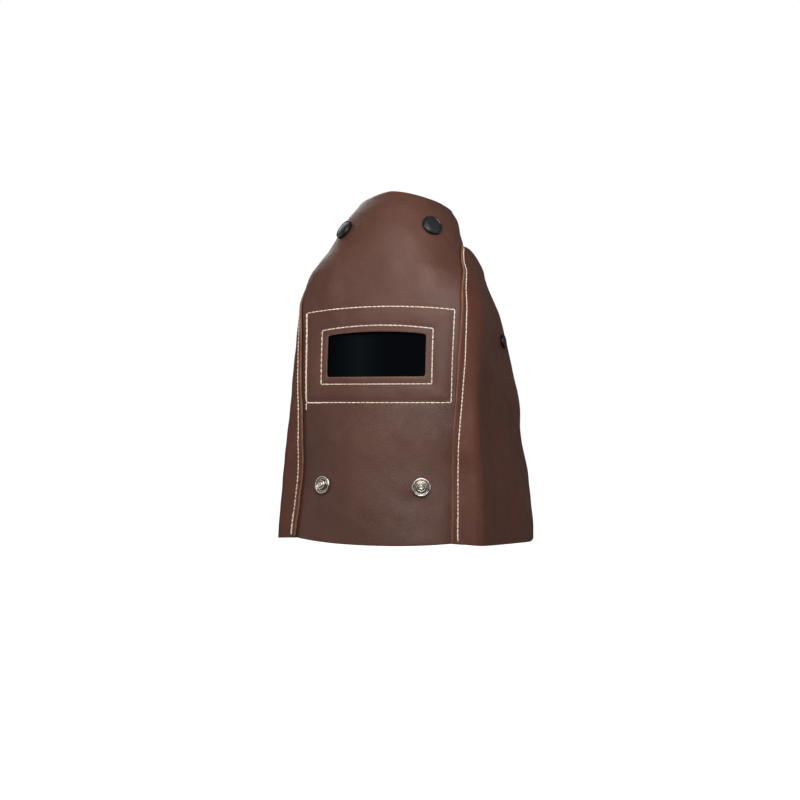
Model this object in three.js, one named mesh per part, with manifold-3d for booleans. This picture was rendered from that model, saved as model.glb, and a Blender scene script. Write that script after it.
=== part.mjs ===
import * as THREE from 'three';
import Module from 'manifold-3d';
import { mergeVertices } from 'three/addons/utils/BufferGeometryUtils.js';

const wasm = await Module();
wasm.setup();

// Leather welding hood. Millimetres, +Z up, the front looks along -Y and the wearer's left is +X.
// The origin is on the middle plane, level with the side snaps, where the head centre sits.

// Overall sizes of the leather body
const HOOD_HEIGHT = 335;
const HEM_DROP = 192;
const HALF_WIDTH = 112;
const FRONT_DEPTH = 179;
const LEATHER = 2;
const GAP = 0.3;

// Outline of the body from hem to crown: rise is a share of HOOD_HEIGHT, the wide columns are
// shares of HALF_WIDTH and the deep columns are shares of FRONT_DEPTH, forward of the head.
// round sets how flat the middle of the front is, 2 being a plain arc. bulge is a share of HALF_WIDTH.
const SECTIONS = [
  { rise: 0.000, front: 1.000, round: 2.2, seamWide: 0.690, seamDeep: 0.896, foldWide: 0.915, foldDeep: 0.832,
    backWide: 0.982, backDeep: -0.067, bulge: 0.030 },
  { rise: 0.185, front: 0.938, round: 2.3, seamWide: 0.664, seamDeep: 0.835, foldWide: 0.890, foldDeep: 0.800,
    backWide: 0.920, backDeep: -0.056, bulge: 0.020 },
  { rise: 0.290, front: 0.913, round: 2.4, seamWide: 0.668, seamDeep: 0.829, foldWide: 0.858, foldDeep: 0.793,
    backWide: 0.857, backDeep: -0.045, bulge: 0.020 },
  { rise: 0.394, front: 0.886, round: 2.7, seamWide: 0.682, seamDeep: 0.813, foldWide: 0.841, foldDeep: 0.760,
    backWide: 0.830, backDeep: -0.073, bulge: 0.020 },
  { rise: 0.543, front: 0.860, round: 3.0, seamWide: 0.704, seamDeep: 0.796, foldWide: 0.834, foldDeep: 0.720,
    backWide: 0.732, backDeep: -0.073, bulge: 0.004 },
  { rise: 0.648, front: 0.844, round: 2.7, seamWide: 0.706, seamDeep: 0.777, foldWide: 0.812, foldDeep: 0.659,
    backWide: 0.678, backDeep: -0.011, bulge: 0.004 },
  { rise: 0.707, front: 0.830, round: 3.2, seamWide: 0.698, seamDeep: 0.752, foldWide: 0.762, foldDeep: 0.587,
    backWide: 0.643, backDeep: 0.084, bulge: 0.006 },
  { rise: 0.758, front: 0.816, round: 3.8, seamWide: 0.680, seamDeep: 0.682, foldWide: 0.717, foldDeep: 0.514,
    backWide: 0.611, backDeep: 0.123, bulge: 0.006 },
  { rise: 0.788, front: 0.805, round: 3.6, seamWide: 0.634, seamDeep: 0.626, foldWide: 0.662, foldDeep: 0.475,
    backWide: 0.600, backDeep: 0.142, bulge: 0.005 },
  { rise: 0.836, front: 0.782, round: 3.0, seamWide: 0.577, seamDeep: 0.524, foldWide: 0.598, foldDeep: 0.425,
    backWide: 0.588, backDeep: 0.190, bulge: 0.000 },
  { rise: 0.887, front: 0.752, round: 2.5, seamWide: 0.549, seamDeep: 0.470, foldWide: 0.560, foldDeep: 0.400,
    backWide: 0.522, backDeep: 0.320, bulge: 0.000 },
  { rise: 0.955, front: 0.685, round: 2.3, seamWide: 0.513, seamDeep: 0.440, foldWide: 0.515, foldDeep: 0.375,
    backWide: 0.477, backDeep: 0.300, bulge: 0.000 },
  { rise: 1.000, front: 0.615, round: 2.1, seamWide: 0.438, seamDeep: 0.402, foldWide: 0.440, foldDeep: 0.335,
    backWide: 0.407, backDeep: 0.270, bulge: 0.000 },
];

// Soft folds and dents: across is 0 at the front centre, 1 at a seam and 2 at a back edge,
// up is a share of HOOD_HEIGHT, wide and tall are their reaches and lift is in millimetres outwards.
const DENTS = [
  { place: 'ridge behind the seam', across: 1.28, up: 0.62, wide: 0.13, tall: 0.12, lift: 1.6 },
  { place: 'hollow behind the ridge', across: 1.62, up: 0.62, wide: 0.16, tall: 0.10, lift: -1.5 },
  { place: 'hollow low on the side', across: 1.42, up: 0.28, wide: 0.16, tall: 0.13, lift: -4.0 },
  { place: 'swell at the back corner', across: 1.78, up: 0.09, wide: 0.18, tall: 0.09, lift: 3.5 },
  { place: 'hollow at the lower front corner', across: 0.62, up: 0.07, wide: 0.22, tall: 0.07, lift: -1.6 },
  { place: 'swell at the temple', across: 0.66, up: 0.73, wide: 0.16, tall: 0.07, lift: 1.6 },
];

// Where the side panel stops below the crown, and how far it laps over the front panel
const SEAM_TOP = 0.836;
const LAP = 12;
const LAP_NARROWING = 0.45;
const LAP_NARROWS_FROM = 0.7;
const LIP_LIFT = 1.1;
const MARGIN_FADE = 0.06;

// Free top edge of the crown flap, hem line and rounded fold
const CROWN_FALL = 15.5;
const CROWN_FALL_POWER = 1.35;
const SIDE_TOP_FALL = 14;
const SIDE_TOP_START = 0.68;
const HEM_SEAM_LIFT = 2.5;
const HEM_FOLD_FALL = 0;
const HEM_BACK_FALL = 12;
const HEM_REACH = 0.25;
const HEM_CORNER = 6;
const HEM_CORNER_REACH = 0.07;
const HEM_CORNER_LIFT = 5;
const HEM_CORNER_FROM = 0.86;
const FOLD_FRONT_SHARE = 0.6;
const FOLD_BACK_REACH = 20;
const FOLD_BACK_SHARE = 0.4;
const FOLD_CRISPNESS = 0.6;
const CRISP_BELOW = 0.3;
const SOFT_ABOVE = 0.6;
const BULGE_EASE = 0.15;

// Window, lens and the pocket patch that holds the lens behind the front panel
const WINDOW_WIDTH = 99.6;
const WINDOW_HEIGHT = 40;
const WINDOW_MIDDLE = -17.5;
const ARCH_RISE = 3;
const LENS_WIDTH = 108;
const LENS_HEIGHT = 51;
const LENS_THICK = 3;
const POCKET_TOP = 32;
const POCKET_BOTTOM = -67;
const POCKET_HALF_SHARE = 0.955;
const POCKET_ROOM = 4;
const POCKET_SLOPE = 0.45;
const POCKET_EASE = 1.2;

// Snaps, studs and the strap
const CROWN_SNAP = { radius: 10, dome: 4.2, wide: 44, belowCrown: 37 };
const SIDE_SNAP = { radius: 7.25, dome: 3.4, fromBack: 26, up: 0 };
const BIB_STUD = { radius: 8.75, height: 4.6, wide: 49, aboveHem: 53 };
const POST_RADIUS = 2.2;
const WASHER_RADIUS = 6;
const WASHER_THICK = 1;
const WASHER_SEAT = 0.8;
const STRAP_WIDTH = 20;
const STRAP_THICK = 1.6;
const STRAP_SEAT = 0.4;
const STRAP_END = 13;
const STRAP_BACK = 113;
const STRAP_SLOPE = 17;
const STRAP_PULL = 0.55;

// Outline of a domed snap cap: shares of its radius and of its dome height
const CAP_PROFILE = [
  { out: 0.94, up: 0.00 }, { out: 1.00, up: 0.14 }, { out: 0.98, up: 0.36 }, { out: 0.86, up: 0.64 },
  { out: 0.62, up: 0.86 }, { out: 0.32, up: 0.97 },
];
// Outline of the nickel stud: shares of its radius and of its height
const STUD_PROFILE = [
  { out: 0.96, up: 0.00 }, { out: 1.00, up: 0.14 }, { out: 0.94, up: 0.34 }, { out: 0.80, up: 0.36 },
  { out: 0.70, up: 0.20 }, { out: 0.56, up: 0.20 }, { out: 0.50, up: 0.74 }, { out: 0.42, up: 0.84 },
  { out: 0.36, up: 0.52 }, { out: 0.30, up: 0.52 }, { out: 0.26, up: 1.00 },
];

// How finely each piece is faceted
const FRONT_COLUMNS = 18;
const FRONT_CROWDING = 1.2;
const LOW_ROWS = 10;
const HIGH_ROWS = 14;
const HIGH_ROWS_FROM = 0.58;
const CROWN_ROWS = 7;
const LAP_SHARES = [0, 0.34, 0.67, 1];
const SIDE_SHARES = [0.04, 0.08, 0.13, 0.19, 0.27, 0.37, 0.48, 0.60, 0.73, 0.87, 1];
const POCKET_COLUMNS = 18;
const POCKET_ROWS = 12;
const ROUND_STEPS = 18;
const ARCH_STEPS = 12;
const STRAP_SEATED_STEPS = 4;
const STRAP_FREE_STEPS = 18;
const NUDGE = 0.004;
const SOLVER_TURNS = 8;
const WELD = 1e-4;
const CUT_REACH = 40;

// Colours seen on the leather, plastic, metal, glass and elastic
const COLOURS = {
  front: '#6b4b42',
  side: '#5c3a31',
  pocket: '#7d5c4b',
  lens: '#0b1410',
  snap: '#121214',
  nickel: '#b9b4ac',
  strap: '#dcdcd8',
};

function clamp(value, low, high) {
  return Math.min(Math.max(value, low), high);
}

function smooth(low, high, value) {
  const share = clamp((value - low) / (high - low), 0, 1);
  return share * share * (3 - 2 * share);
}

// Smooth curve through one column of the sections table
function column(name, rise) {
  const last = SECTIONS.length - 1;
  let low = 0;
  while (low < last - 1 && rise > SECTIONS[low + 1].rise) low += 1;
  const slopeAt = (row) => {
    const before = SECTIONS[Math.max(row - 1, 0)];
    const after = SECTIONS[Math.min(row + 1, last)];
    return (after[name] - before[name]) / (after.rise - before.rise);
  };
  const start = SECTIONS[low];
  const end = SECTIONS[low + 1];
  const span = end.rise - start.rise;
  const share = (rise - start.rise) / span;
  const square = share * share;
  const cube = square * share;
  const startWeight = 2 * cube - 3 * square + 1;
  const startSlope = (cube - 2 * square + share) * span * slopeAt(low);
  const endSlope = (cube - square) * span * slopeAt(low + 1);
  return startWeight * start[name] + startSlope + (1 - startWeight) * end[name] + endSlope;
}

// Corner points of one level section, seen from above on the +X side
function section(rise) {
  const cornerAt = (name) => new THREE.Vector2(
    column(`${name}Wide`, rise) * HALF_WIDTH,
    -column(`${name}Deep`, rise) * FRONT_DEPTH,
  );
  const seam = cornerAt('seam');
  const fold = cornerAt('fold');
  const back = cornerAt('back');
  return { seam, fold, back, facet: seam.distanceTo(fold), plane: fold.distanceTo(back) };
}

function sideLength(rise) {
  const level = section(rise);
  return level.facet + level.plane;
}

// Front arc from the centre to the seam
function frontArc(share, rise) {
  const { seam } = section(rise);
  const front = column('front', rise) * FRONT_DEPTH;
  const depth = front + seam.y;
  const half = 2 * Math.atan2(depth, seam.x);
  const across = Math.min(share, 1);
  const wide = seam.x * Math.sin(half * across) / Math.sin(half);
  const bend = (1 - Math.cos(half * across)) / (1 - Math.cos(half));
  return new THREE.Vector2(wide, -front + depth * bend ** (column('round', rise) / 2));
}

// Side line: straight facet, rounded fold, then the side plane back to its free edge.
// The fold is crisp near the hem and soft higher up.
function sideLine(share, rise) {
  const { seam, fold, back, facet, plane } = section(rise);
  const along = share * (facet + plane);
  const softness = 1 - FOLD_CRISPNESS * (1 - smooth(CRISP_BELOW, SOFT_ABOVE, rise));
  const before = facet * FOLD_FRONT_SHARE * softness;
  const after = Math.min(FOLD_BACK_REACH, plane * FOLD_BACK_SHARE) * softness;
  const towardsFold = fold.clone().sub(seam).normalize();
  const towardsBack = back.clone().sub(fold).normalize();
  const point = new THREE.Vector2();
  if (along < facet - before) {
    point.copy(seam).addScaledVector(towardsFold, along);
  } else if (along < facet + after) {
    const turn = (along - facet + before) / (before + after);
    point.copy(fold).addScaledVector(towardsFold, -before * (1 - turn) ** 2);
    point.addScaledVector(towardsBack, after * turn ** 2);
  } else {
    point.copy(fold).addScaledVector(towardsBack, along - facet);
  }
  const down = clamp((along - facet) / plane, 0, 1);
  const swell = 4 * down * (1 - down) * smooth(0, BULGE_EASE, down) * column('bulge', rise) * HALF_WIDTH;
  point.x += swell * towardsBack.y;
  point.y += swell * -towardsBack.x;
  return point;
}

// Height of a point: even rise, with the crown edge, side top edge and hem line let down,
// and the hem's back corner rounded up
function heightAt(across, rise) {
  const beyond = Math.max(across - 1, 0);
  const within = Math.min(across, 1);
  const crown = CROWN_FALL * within ** CROWN_FALL_POWER * smooth(SEAM_TOP, 1, rise);
  const sideTop = SIDE_TOP_FALL * beyond ** 2 * smooth(SIDE_TOP_START, SEAM_TOP, rise);
  const nearHem = (1 - smooth(0, HEM_REACH, rise));
  const facetShare = section(rise).facet / sideLength(rise);
  const toFold = clamp(beyond / facetShare, 0, 1);
  const toBack = clamp((beyond - facetShare) / (1 - facetShare), 0, 1);
  const hem = HEM_SEAM_LIFT * within ** 2 - (HEM_SEAM_LIFT + HEM_FOLD_FALL) * toFold
    - (HEM_BACK_FALL - HEM_FOLD_FALL) * toBack;
  const atCorner = clamp((toBack - HEM_CORNER_FROM) / (1 - HEM_CORNER_FROM), 0, 1);
  const corner = HEM_CORNER_LIFT * atCorner ** 2 * (1 - clamp(rise / HEM_CORNER_REACH, 0, 1));
  return rise * HOOD_HEIGHT - HEM_DROP - crown - sideTop + hem * nearHem + corner;
}

// Body without dents. across runs from -2 at one back edge through 0 at the front to 2 at the other.
function plainPoint(across, rise) {
  const size = Math.abs(across);
  const flat = size <= 1 ? frontArc(size, rise) : sideLine(size - 1, rise);
  return new THREE.Vector3(Math.sign(across) * flat.x, flat.y, heightAt(size, rise));
}

function outwards(pointAt, across, rise) {
  const low = clamp(rise - NUDGE, 0, 1);
  const high = clamp(rise + NUDGE, 0, 1);
  const sideways = pointAt(across + NUDGE, rise).sub(pointAt(across - NUDGE, rise));
  const upwards = pointAt(across, high).sub(pointAt(across, low));
  return sideways.cross(upwards).normalize();
}

function dentAt(across, rise) {
  let lift = 0;
  for (const dent of DENTS) {
    const sideways = (Math.abs(across) - dent.across) / dent.wide;
    const upwards = (rise - dent.up) / dent.tall;
    lift += dent.lift * Math.exp(-(sideways ** 2) - upwards ** 2);
  }
  return lift;
}

function bodyPoint(across, rise) {
  return plainPoint(across, rise).addScaledVector(outwards(plainPoint, across, rise), dentAt(across, rise));
}

// Point at a distance outside the body surface, with the surface direction there
function offsetPoint(across, rise, offset) {
  return bodyPoint(across, rise).addScaledVector(outwards(bodyPoint, across, rise), offset);
}

// Share of the rise at which the body passes a height, at one place across
function riseAt(across, height) {
  let rise = (height + HEM_DROP) / HOOD_HEIGHT;
  for (let turn = 0; turn < SOLVER_TURNS; turn += 1) {
    rise += (height - bodyPoint(across, clamp(rise, 0, 1)).z) / HOOD_HEIGHT;
  }
  return clamp(rise, 0, 1);
}

// Place across the front that has a given distance from the middle plane
function acrossAt(wide, height) {
  let across = wide / (HALF_WIDTH * column('seamWide', riseAt(0, height)));
  for (let turn = 0; turn < SOLVER_TURNS; turn += 1) {
    across += (wide - bodyPoint(across, riseAt(across, height)).x) / HALF_WIDTH;
  }
  return across;
}

// Closed body between two grids of points, the first grid being the face that looks outwards.
// The facets of the first half of the columns mirror those of the second half.
function closedShell(outer, inner, halfWay = 0) {
  const rows = outer.length;
  const columns = outer[0].length;
  const corners = [];
  for (const grid of [outer, inner]) {
    for (const row of grid) {
      for (const point of row) corners.push(point.x, point.y, point.z);
    }
  }
  const faces = [];
  const at = (layer, row, place) => (layer * rows + row) * columns + place;
  const quad = (first, second, third, fourth) => faces.push(first, second, third, first, third, fourth);
  for (let row = 0; row < rows - 1; row += 1) {
    for (let place = 0; place < columns - 1; place += 1) {
      const outside = [at(0, row, place), at(0, row, place + 1), at(0, row + 1, place + 1), at(0, row + 1, place)];
      const inside = [at(1, row, place), at(1, row + 1, place), at(1, row + 1, place + 1), at(1, row, place + 1)];
      if (place < halfWay) {
        outside.push(outside.shift());
        inside.push(inside.shift());
      }
      quad(...outside);
      quad(...inside);
    }
  }
  for (let place = 0; place < columns - 1; place += 1) {
    quad(at(0, 0, place), at(1, 0, place), at(1, 0, place + 1), at(0, 0, place + 1));
    const top = rows - 1;
    quad(at(0, top, place), at(0, top, place + 1), at(1, top, place + 1), at(1, top, place));
  }
  for (let row = 0; row < rows - 1; row += 1) {
    quad(at(0, row, 0), at(0, row + 1, 0), at(1, row + 1, 0), at(1, row, 0));
    const last = columns - 1;
    quad(at(0, row, last), at(1, row, last), at(1, row + 1, last), at(0, row + 1, last));
  }
  const geometry = new THREE.BufferGeometry();
  geometry.setAttribute('position', new THREE.Float32BufferAttribute(corners, 3));
  geometry.setIndex(faces);
  return geometry;
}

function welded(geometry) {
  const bare = geometry.clone();
  bare.deleteAttribute('normal');
  bare.deleteAttribute('uv');
  return mergeVertices(bare, WELD);
}

function solidOf(geometry) {
  const bare = welded(geometry);
  return new wasm.Manifold(new wasm.Mesh({
    numProp: 3,
    vertProperties: new Float32Array(bare.attributes.position.array),
    triVerts: new Uint32Array(bare.index.array),
  }));
}

function geometryOf(solid) {
  const mesh = solid.getMesh();
  const geometry = new THREE.BufferGeometry();
  const corners = [];
  for (let index = 0; index < mesh.vertProperties.length; index += mesh.numProp) {
    corners.push(mesh.vertProperties[index], mesh.vertProperties[index + 1], mesh.vertProperties[index + 2]);
  }
  geometry.setAttribute('position', new THREE.Float32BufferAttribute(corners, 3));
  geometry.setIndex(Array.from(mesh.triVerts));
  return geometry;
}

function cutWith(geometry, cutters) {
  let solid = solidOf(geometry);
  for (const cutter of cutters) solid = solid.subtract(solidOf(cutter));
  return geometryOf(solid);
}

function mirrored(geometry) {
  const copy = geometry.index ? geometry.clone() : welded(geometry);
  const flipped = copy.scale(-1, 1, 1);
  const order = Array.from(flipped.index.array);
  for (let face = 0; face < order.length; face += 3) {
    [order[face + 1], order[face + 2]] = [order[face + 2], order[face + 1]];
  }
  flipped.setIndex(order);
  return flipped;
}

// Rows shared by every leather panel, so that lapped panels keep an even gap
function panelRows() {
  const rows = [0, HEM_CORNER_REACH / 3];
  for (let row = 1; row < LOW_ROWS; row += 1) rows.push(HIGH_ROWS_FROM * row / LOW_ROWS);
  const high = SEAM_TOP - HIGH_ROWS_FROM;
  for (let row = 0; row <= HIGH_ROWS; row += 1) rows.push(HIGH_ROWS_FROM + high * row / HIGH_ROWS);
  return rows;
}

function crownRows() {
  const rows = [];
  for (let row = 1; row <= CROWN_ROWS; row += 1) rows.push(SEAM_TOP + (1 - SEAM_TOP) * row / CROWN_ROWS);
  return rows;
}

// Turn a lathe shape or cutter to stand on the body at a place across and up it
function standingOn(geometry, seat) {
  const turn = new THREE.Quaternion().setFromUnitVectors(new THREE.Vector3(0, 0, 1), seat.axis);
  return geometry.applyQuaternion(turn).translate(seat.foot.x, seat.foot.y, seat.foot.z);
}

function seatOn(across, rise, offset) {
  return { axis: outwards(bodyPoint, across, rise), foot: offsetPoint(across, rise, offset) };
}

// Seat on the front panel at a distance from the middle plane and a height
function frontSeat(wide, up) {
  const across = acrossAt(wide, up);
  return seatOn(across, riseAt(across, up), 0);
}

function crownSeat() {
  return frontSeat(CROWN_SNAP.wide, HOOD_HEIGHT - HEM_DROP - CROWN_SNAP.belowCrown);
}

function studSeat() {
  return frontSeat(BIB_STUD.wide, BIB_STUD.aboveHem - HEM_DROP);
}

function sideSnapAcross() {
  const rise = riseAt(2, SIDE_SNAP.up);
  return 2 - SIDE_SNAP.fromBack / sideLength(rise);
}

function sideSeat() {
  const across = sideSnapAcross();
  return seatOn(across, riseAt(across, SIDE_SNAP.up), GAP + LEATHER);
}

function mirroredSeat(seat) {
  const flip = new THREE.Vector3(-1, 1, 1);
  return { axis: seat.axis.clone().multiply(flip), foot: seat.foot.clone().multiply(flip) };
}

function postHole(seat) {
  const hole = new THREE.CylinderGeometry(POST_RADIUS + GAP, POST_RADIUS + GAP, CUT_REACH / 2, ROUND_STEPS);
  return standingOn(hole.rotateX(Math.PI / 2), seat);
}

// Window outline with a straight sill and a slightly arched top, cut straight through along Y
function windowCutter() {
  const half = WINDOW_WIDTH / 2;
  const sill = WINDOW_MIDDLE - WINDOW_HEIGHT / 2;
  const outline = new THREE.Shape();
  outline.moveTo(-half, sill);
  outline.lineTo(half, sill);
  for (let step = 0; step <= ARCH_STEPS; step += 1) {
    const across = 1 - 2 * step / ARCH_STEPS;
    outline.lineTo(half * across, sill + WINDOW_HEIGHT + ARCH_RISE * (1 - across * across));
  }
  outline.closePath();
  const depth = 2 * FRONT_DEPTH;
  const block = new THREE.ExtrudeGeometry(outline, { depth, bevelEnabled: false });
  return block.rotateX(Math.PI / 2);
}

// Width of the overlap at the seam, as a share of the side's length; it narrows towards the crown
function lapShare(rise) {
  const narrow = LAP_NARROWING * smooth(LAP_NARROWS_FROM, SEAM_TOP, rise);
  return LAP * (1 - narrow) / sideLength(rise);
}

function frontPanel() {
  const outer = [];
  const inner = [];
  for (const rise of [...panelRows(), ...crownRows()]) {
    const margin = lapShare(rise) * (1 - smooth(SEAM_TOP, SEAM_TOP + MARGIN_FADE, rise));
    const places = [];
    for (const share of LAP_SHARES.slice(1).reverse()) places.push(-1 - Math.max(margin, NUDGE) * share);
    for (let step = 0; step <= FRONT_COLUMNS; step += 1) {
      places.push(Math.sin((2 * step / FRONT_COLUMNS - 1) * FRONT_CROWDING) / Math.sin(FRONT_CROWDING));
    }
    for (const share of LAP_SHARES.slice(1)) places.push(1 + Math.max(margin, NUDGE) * share);
    outer.push(places.map((across) => bodyPoint(across, rise)));
    inner.push(places.map((across) => offsetPoint(across, rise, -LEATHER)));
  }
  const stud = studSeat();
  const crown = crownSeat();
  const holes = [stud, mirroredSeat(stud), crown, mirroredSeat(crown)].map(postHole);
  const halfWay = (outer[0].length - 1) / 2;
  return cutWith(closedShell(outer, inner, halfWay), [windowCutter(), ...holes]);
}

// Side panel on the +X side; its raw front edge laps over the front panel and its back edge is free
function sidePanel() {
  const outer = [];
  const inner = [];
  for (const rise of panelRows()) {
    const margin = lapShare(rise);
    const corner = HEM_CORNER * (1 - clamp(rise / HEM_CORNER_REACH, 0, 1)) ** 2 / sideLength(rise);
    const places = [];
    for (const share of LAP_SHARES) places.push({ across: 1 + margin * share, lip: LIP_LIFT * (1 - share) ** 2 });
    for (const share of SIDE_SHARES) places.push({ across: 1 + margin + (1 - margin - corner) * share, lip: 0 });
    outer.push(places.map(({ across, lip }) => offsetPoint(across, rise, GAP + LEATHER + lip)));
    inner.push(places.map(({ across, lip }) => offsetPoint(across, rise, GAP + lip)));
  }
  return cutWith(closedShell(outer, inner), [postHole(sideSeat())]);
}

// Flat lens, leaning back with the front panel, as close behind it as the curved leather lets it
function lensPlace() {
  const low = offsetPoint(0, riseAt(0, WINDOW_MIDDLE - LENS_HEIGHT / 2), -LEATHER);
  const high = offsetPoint(0, riseAt(0, WINDOW_MIDDLE + LENS_HEIGHT / 2), -LEATHER);
  const lean = Math.atan2(high.y - low.y, high.z - low.z);
  const inwards = new THREE.Vector3(0, Math.cos(lean), -Math.sin(lean));
  const middle = low.clone().lerp(high, 0.5).setZ(WINDOW_MIDDLE);
  let depth = -Infinity;
  for (let step = 0; step <= ARCH_STEPS; step += 1) {
    for (const edge of [-1, 0, 1]) {
      const up = WINDOW_MIDDLE + edge * LENS_HEIGHT / 2;
      const across = acrossAt(LENS_WIDTH / 2 * step / ARCH_STEPS, up);
      const leather = offsetPoint(across, riseAt(across, up), -LEATHER);
      depth = Math.max(depth, leather.sub(middle).dot(inwards));
    }
  }
  return { lean, inwards, front: depth + GAP, middle };
}

function lens() {
  const { lean, inwards, front, middle } = lensPlace();
  const glass = new THREE.BoxGeometry(LENS_WIDTH, LENS_THICK, LENS_HEIGHT);
  const centre = middle.addScaledVector(inwards, front + LENS_THICK / 2);
  return glass.rotateX(-lean).translate(centre.x, centre.y, centre.z);
}

// Pocket patch: lies on the back of the front panel at its border and stands clear of the lens
function lensPocket() {
  const { inwards, front, middle } = lensPlace();
  const upLens = new THREE.Vector3(0, -inwards.z, inwards.y);
  const outer = [];
  const inner = [];
  for (let row = 0; row <= POCKET_ROWS; row += 1) {
    const outerRow = [];
    const innerRow = [];
    for (let step = 0; step <= POCKET_COLUMNS; step += 1) {
      const across = POCKET_HALF_SHARE * (2 * step / POCKET_COLUMNS - 1);
      const top = POCKET_TOP + ARCH_RISE * (1 - across ** 2);
      const height = POCKET_BOTTOM + (top - POCKET_BOTTOM) * row / POCKET_ROWS;
      const rise = riseAt(across, height);
      const leather = offsetPoint(across, rise, -LEATHER - GAP);
      const local = leather.clone().sub(middle);
      const wide = Math.max(Math.abs(local.x) - LENS_WIDTH / 2 - POCKET_ROOM, 0);
      const tall = Math.max(Math.abs(local.dot(upLens)) - LENS_HEIGHT / 2 - POCKET_ROOM, 0);
      const clear = front + LENS_THICK + GAP + POCKET_EASE - POCKET_SLOPE * Math.hypot(wide, tall);
      const short = clear - local.dot(inwards);
      const push = (short + Math.hypot(short, POCKET_EASE)) / 2;
      const face = leather.addScaledVector(inwards, push);
      outerRow.push(face);
      innerRow.push(face.clone().addScaledVector(outwards(bodyPoint, across, rise), -LEATHER));
    }
    outer.push(outerRow);
    inner.push(innerRow);
  }
  return cutWith(closedShell(outer, inner, POCKET_COLUMNS / 2), [windowCutter()]);
}

// Turned body: cap or stud outside, a post through the layers and a washer inside
function turnedFastener(profile, radius, height, stack) {
  const washerTop = -stack - WASHER_SEAT;
  const outline = [
    new THREE.Vector2(0, washerTop - WASHER_THICK),
    new THREE.Vector2(WASHER_RADIUS, washerTop - WASHER_THICK),
    new THREE.Vector2(WASHER_RADIUS, washerTop),
    new THREE.Vector2(POST_RADIUS, washerTop),
    new THREE.Vector2(POST_RADIUS, GAP),
  ];
  for (const { out, up } of profile) outline.push(new THREE.Vector2(out * radius, GAP + up * height));
  outline.push(new THREE.Vector2(0, GAP + height));
  return new THREE.LatheGeometry(outline, ROUND_STEPS).rotateX(Math.PI / 2);
}

function crownSnap(seat) {
  return standingOn(turnedFastener(CAP_PROFILE, CROWN_SNAP.radius, CROWN_SNAP.dome, LEATHER), seat);
}

function sideSnap(seat) {
  const stack = LEATHER + GAP + STRAP_SEAT + STRAP_THICK;
  return standingOn(turnedFastener(CAP_PROFILE, SIDE_SNAP.radius, SIDE_SNAP.dome, stack), seat);
}

function bibStud(seat) {
  return standingOn(turnedFastener(STUD_PROFILE, BIB_STUD.radius, BIB_STUD.height, LEATHER), seat);
}

// One lengthwise line of the strap: seated inside the side panel, then free round the back of the head
function strapLine(level) {
  const slope = THREE.MathUtils.degToRad(STRAP_SLOPE);
  const snapAcross = sideSnapAcross();
  const length = sideLength(riseAt(snapAcross, SIDE_SNAP.up));
  const seated = (along) => {
    const up = SIDE_SNAP.up + level * Math.cos(slope) - along * Math.sin(slope);
    const shift = along * Math.cos(slope) + level * Math.sin(slope);
    const across = snapAcross + shift / length;
    return offsetPoint(across, riseAt(across, up), -STRAP_SEAT);
  };
  const line = [];
  const reach = SIDE_SNAP.fromBack;
  for (let step = 0; step <= STRAP_SEATED_STEPS; step += 1) {
    line.push(seated(-STRAP_END + (STRAP_END + reach) * step / STRAP_SEATED_STEPS));
  }
  const leave = line[line.length - 1];
  const heading = leave.clone().sub(seated(reach - 1)).normalize();
  const run = STRAP_BACK - leave.y;
  const fall = (STRAP_BACK - sideSeat().foot.y) * Math.tan(slope);
  const rear = new THREE.Vector3(0, STRAP_BACK + level * Math.sin(slope), SIDE_SNAP.up - fall + level * Math.cos(slope));
  const bend = leave.clone().addScaledVector(heading, run * STRAP_PULL);
  const rearBend = rear.clone().setX(leave.x * STRAP_PULL);
  const free = new THREE.CubicBezierCurve3(leave, bend, rearBend, rear);
  line.push(...free.getPoints(STRAP_FREE_STEPS).slice(1));
  return line;
}

function headStrap() {
  const half = STRAP_WIDTH / 2;
  const sides = [-half, 0, half].map(strapLine);
  const outer = sides.map((line) => {
    const other = line.slice(0, -1).map((point) => point.clone().setX(-point.x));
    return [...other, ...line.slice().reverse()];
  });
  const count = outer[0].length;
  const inner = outer.map((line, row) => line.map((point, place) => {
    const sideways = line[Math.min(place + 1, count - 1)].clone().sub(line[Math.max(place - 1, 0)]);
    const upwards = outer[Math.min(row + 1, 2)][place].clone().sub(outer[Math.max(row - 1, 0)][place]);
    return point.clone().addScaledVector(sideways.cross(upwards).normalize(), STRAP_THICK);
  }));
  const seat = sideSeat();
  return cutWith(closedShell(inner, outer), [postHole(seat), postHole(mirroredSeat(seat))]);
}

// Materials, one for each sub-part
function material(name, colour, roughness, metalness) {
  return new THREE.MeshStandardMaterial({ name, color: new THREE.Color(colour), roughness, metalness });
}

function part(name, geometry, surface) {
  const mesh = new THREE.Mesh(welded(geometry), surface);
  mesh.name = name;
  return mesh;
}

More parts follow.
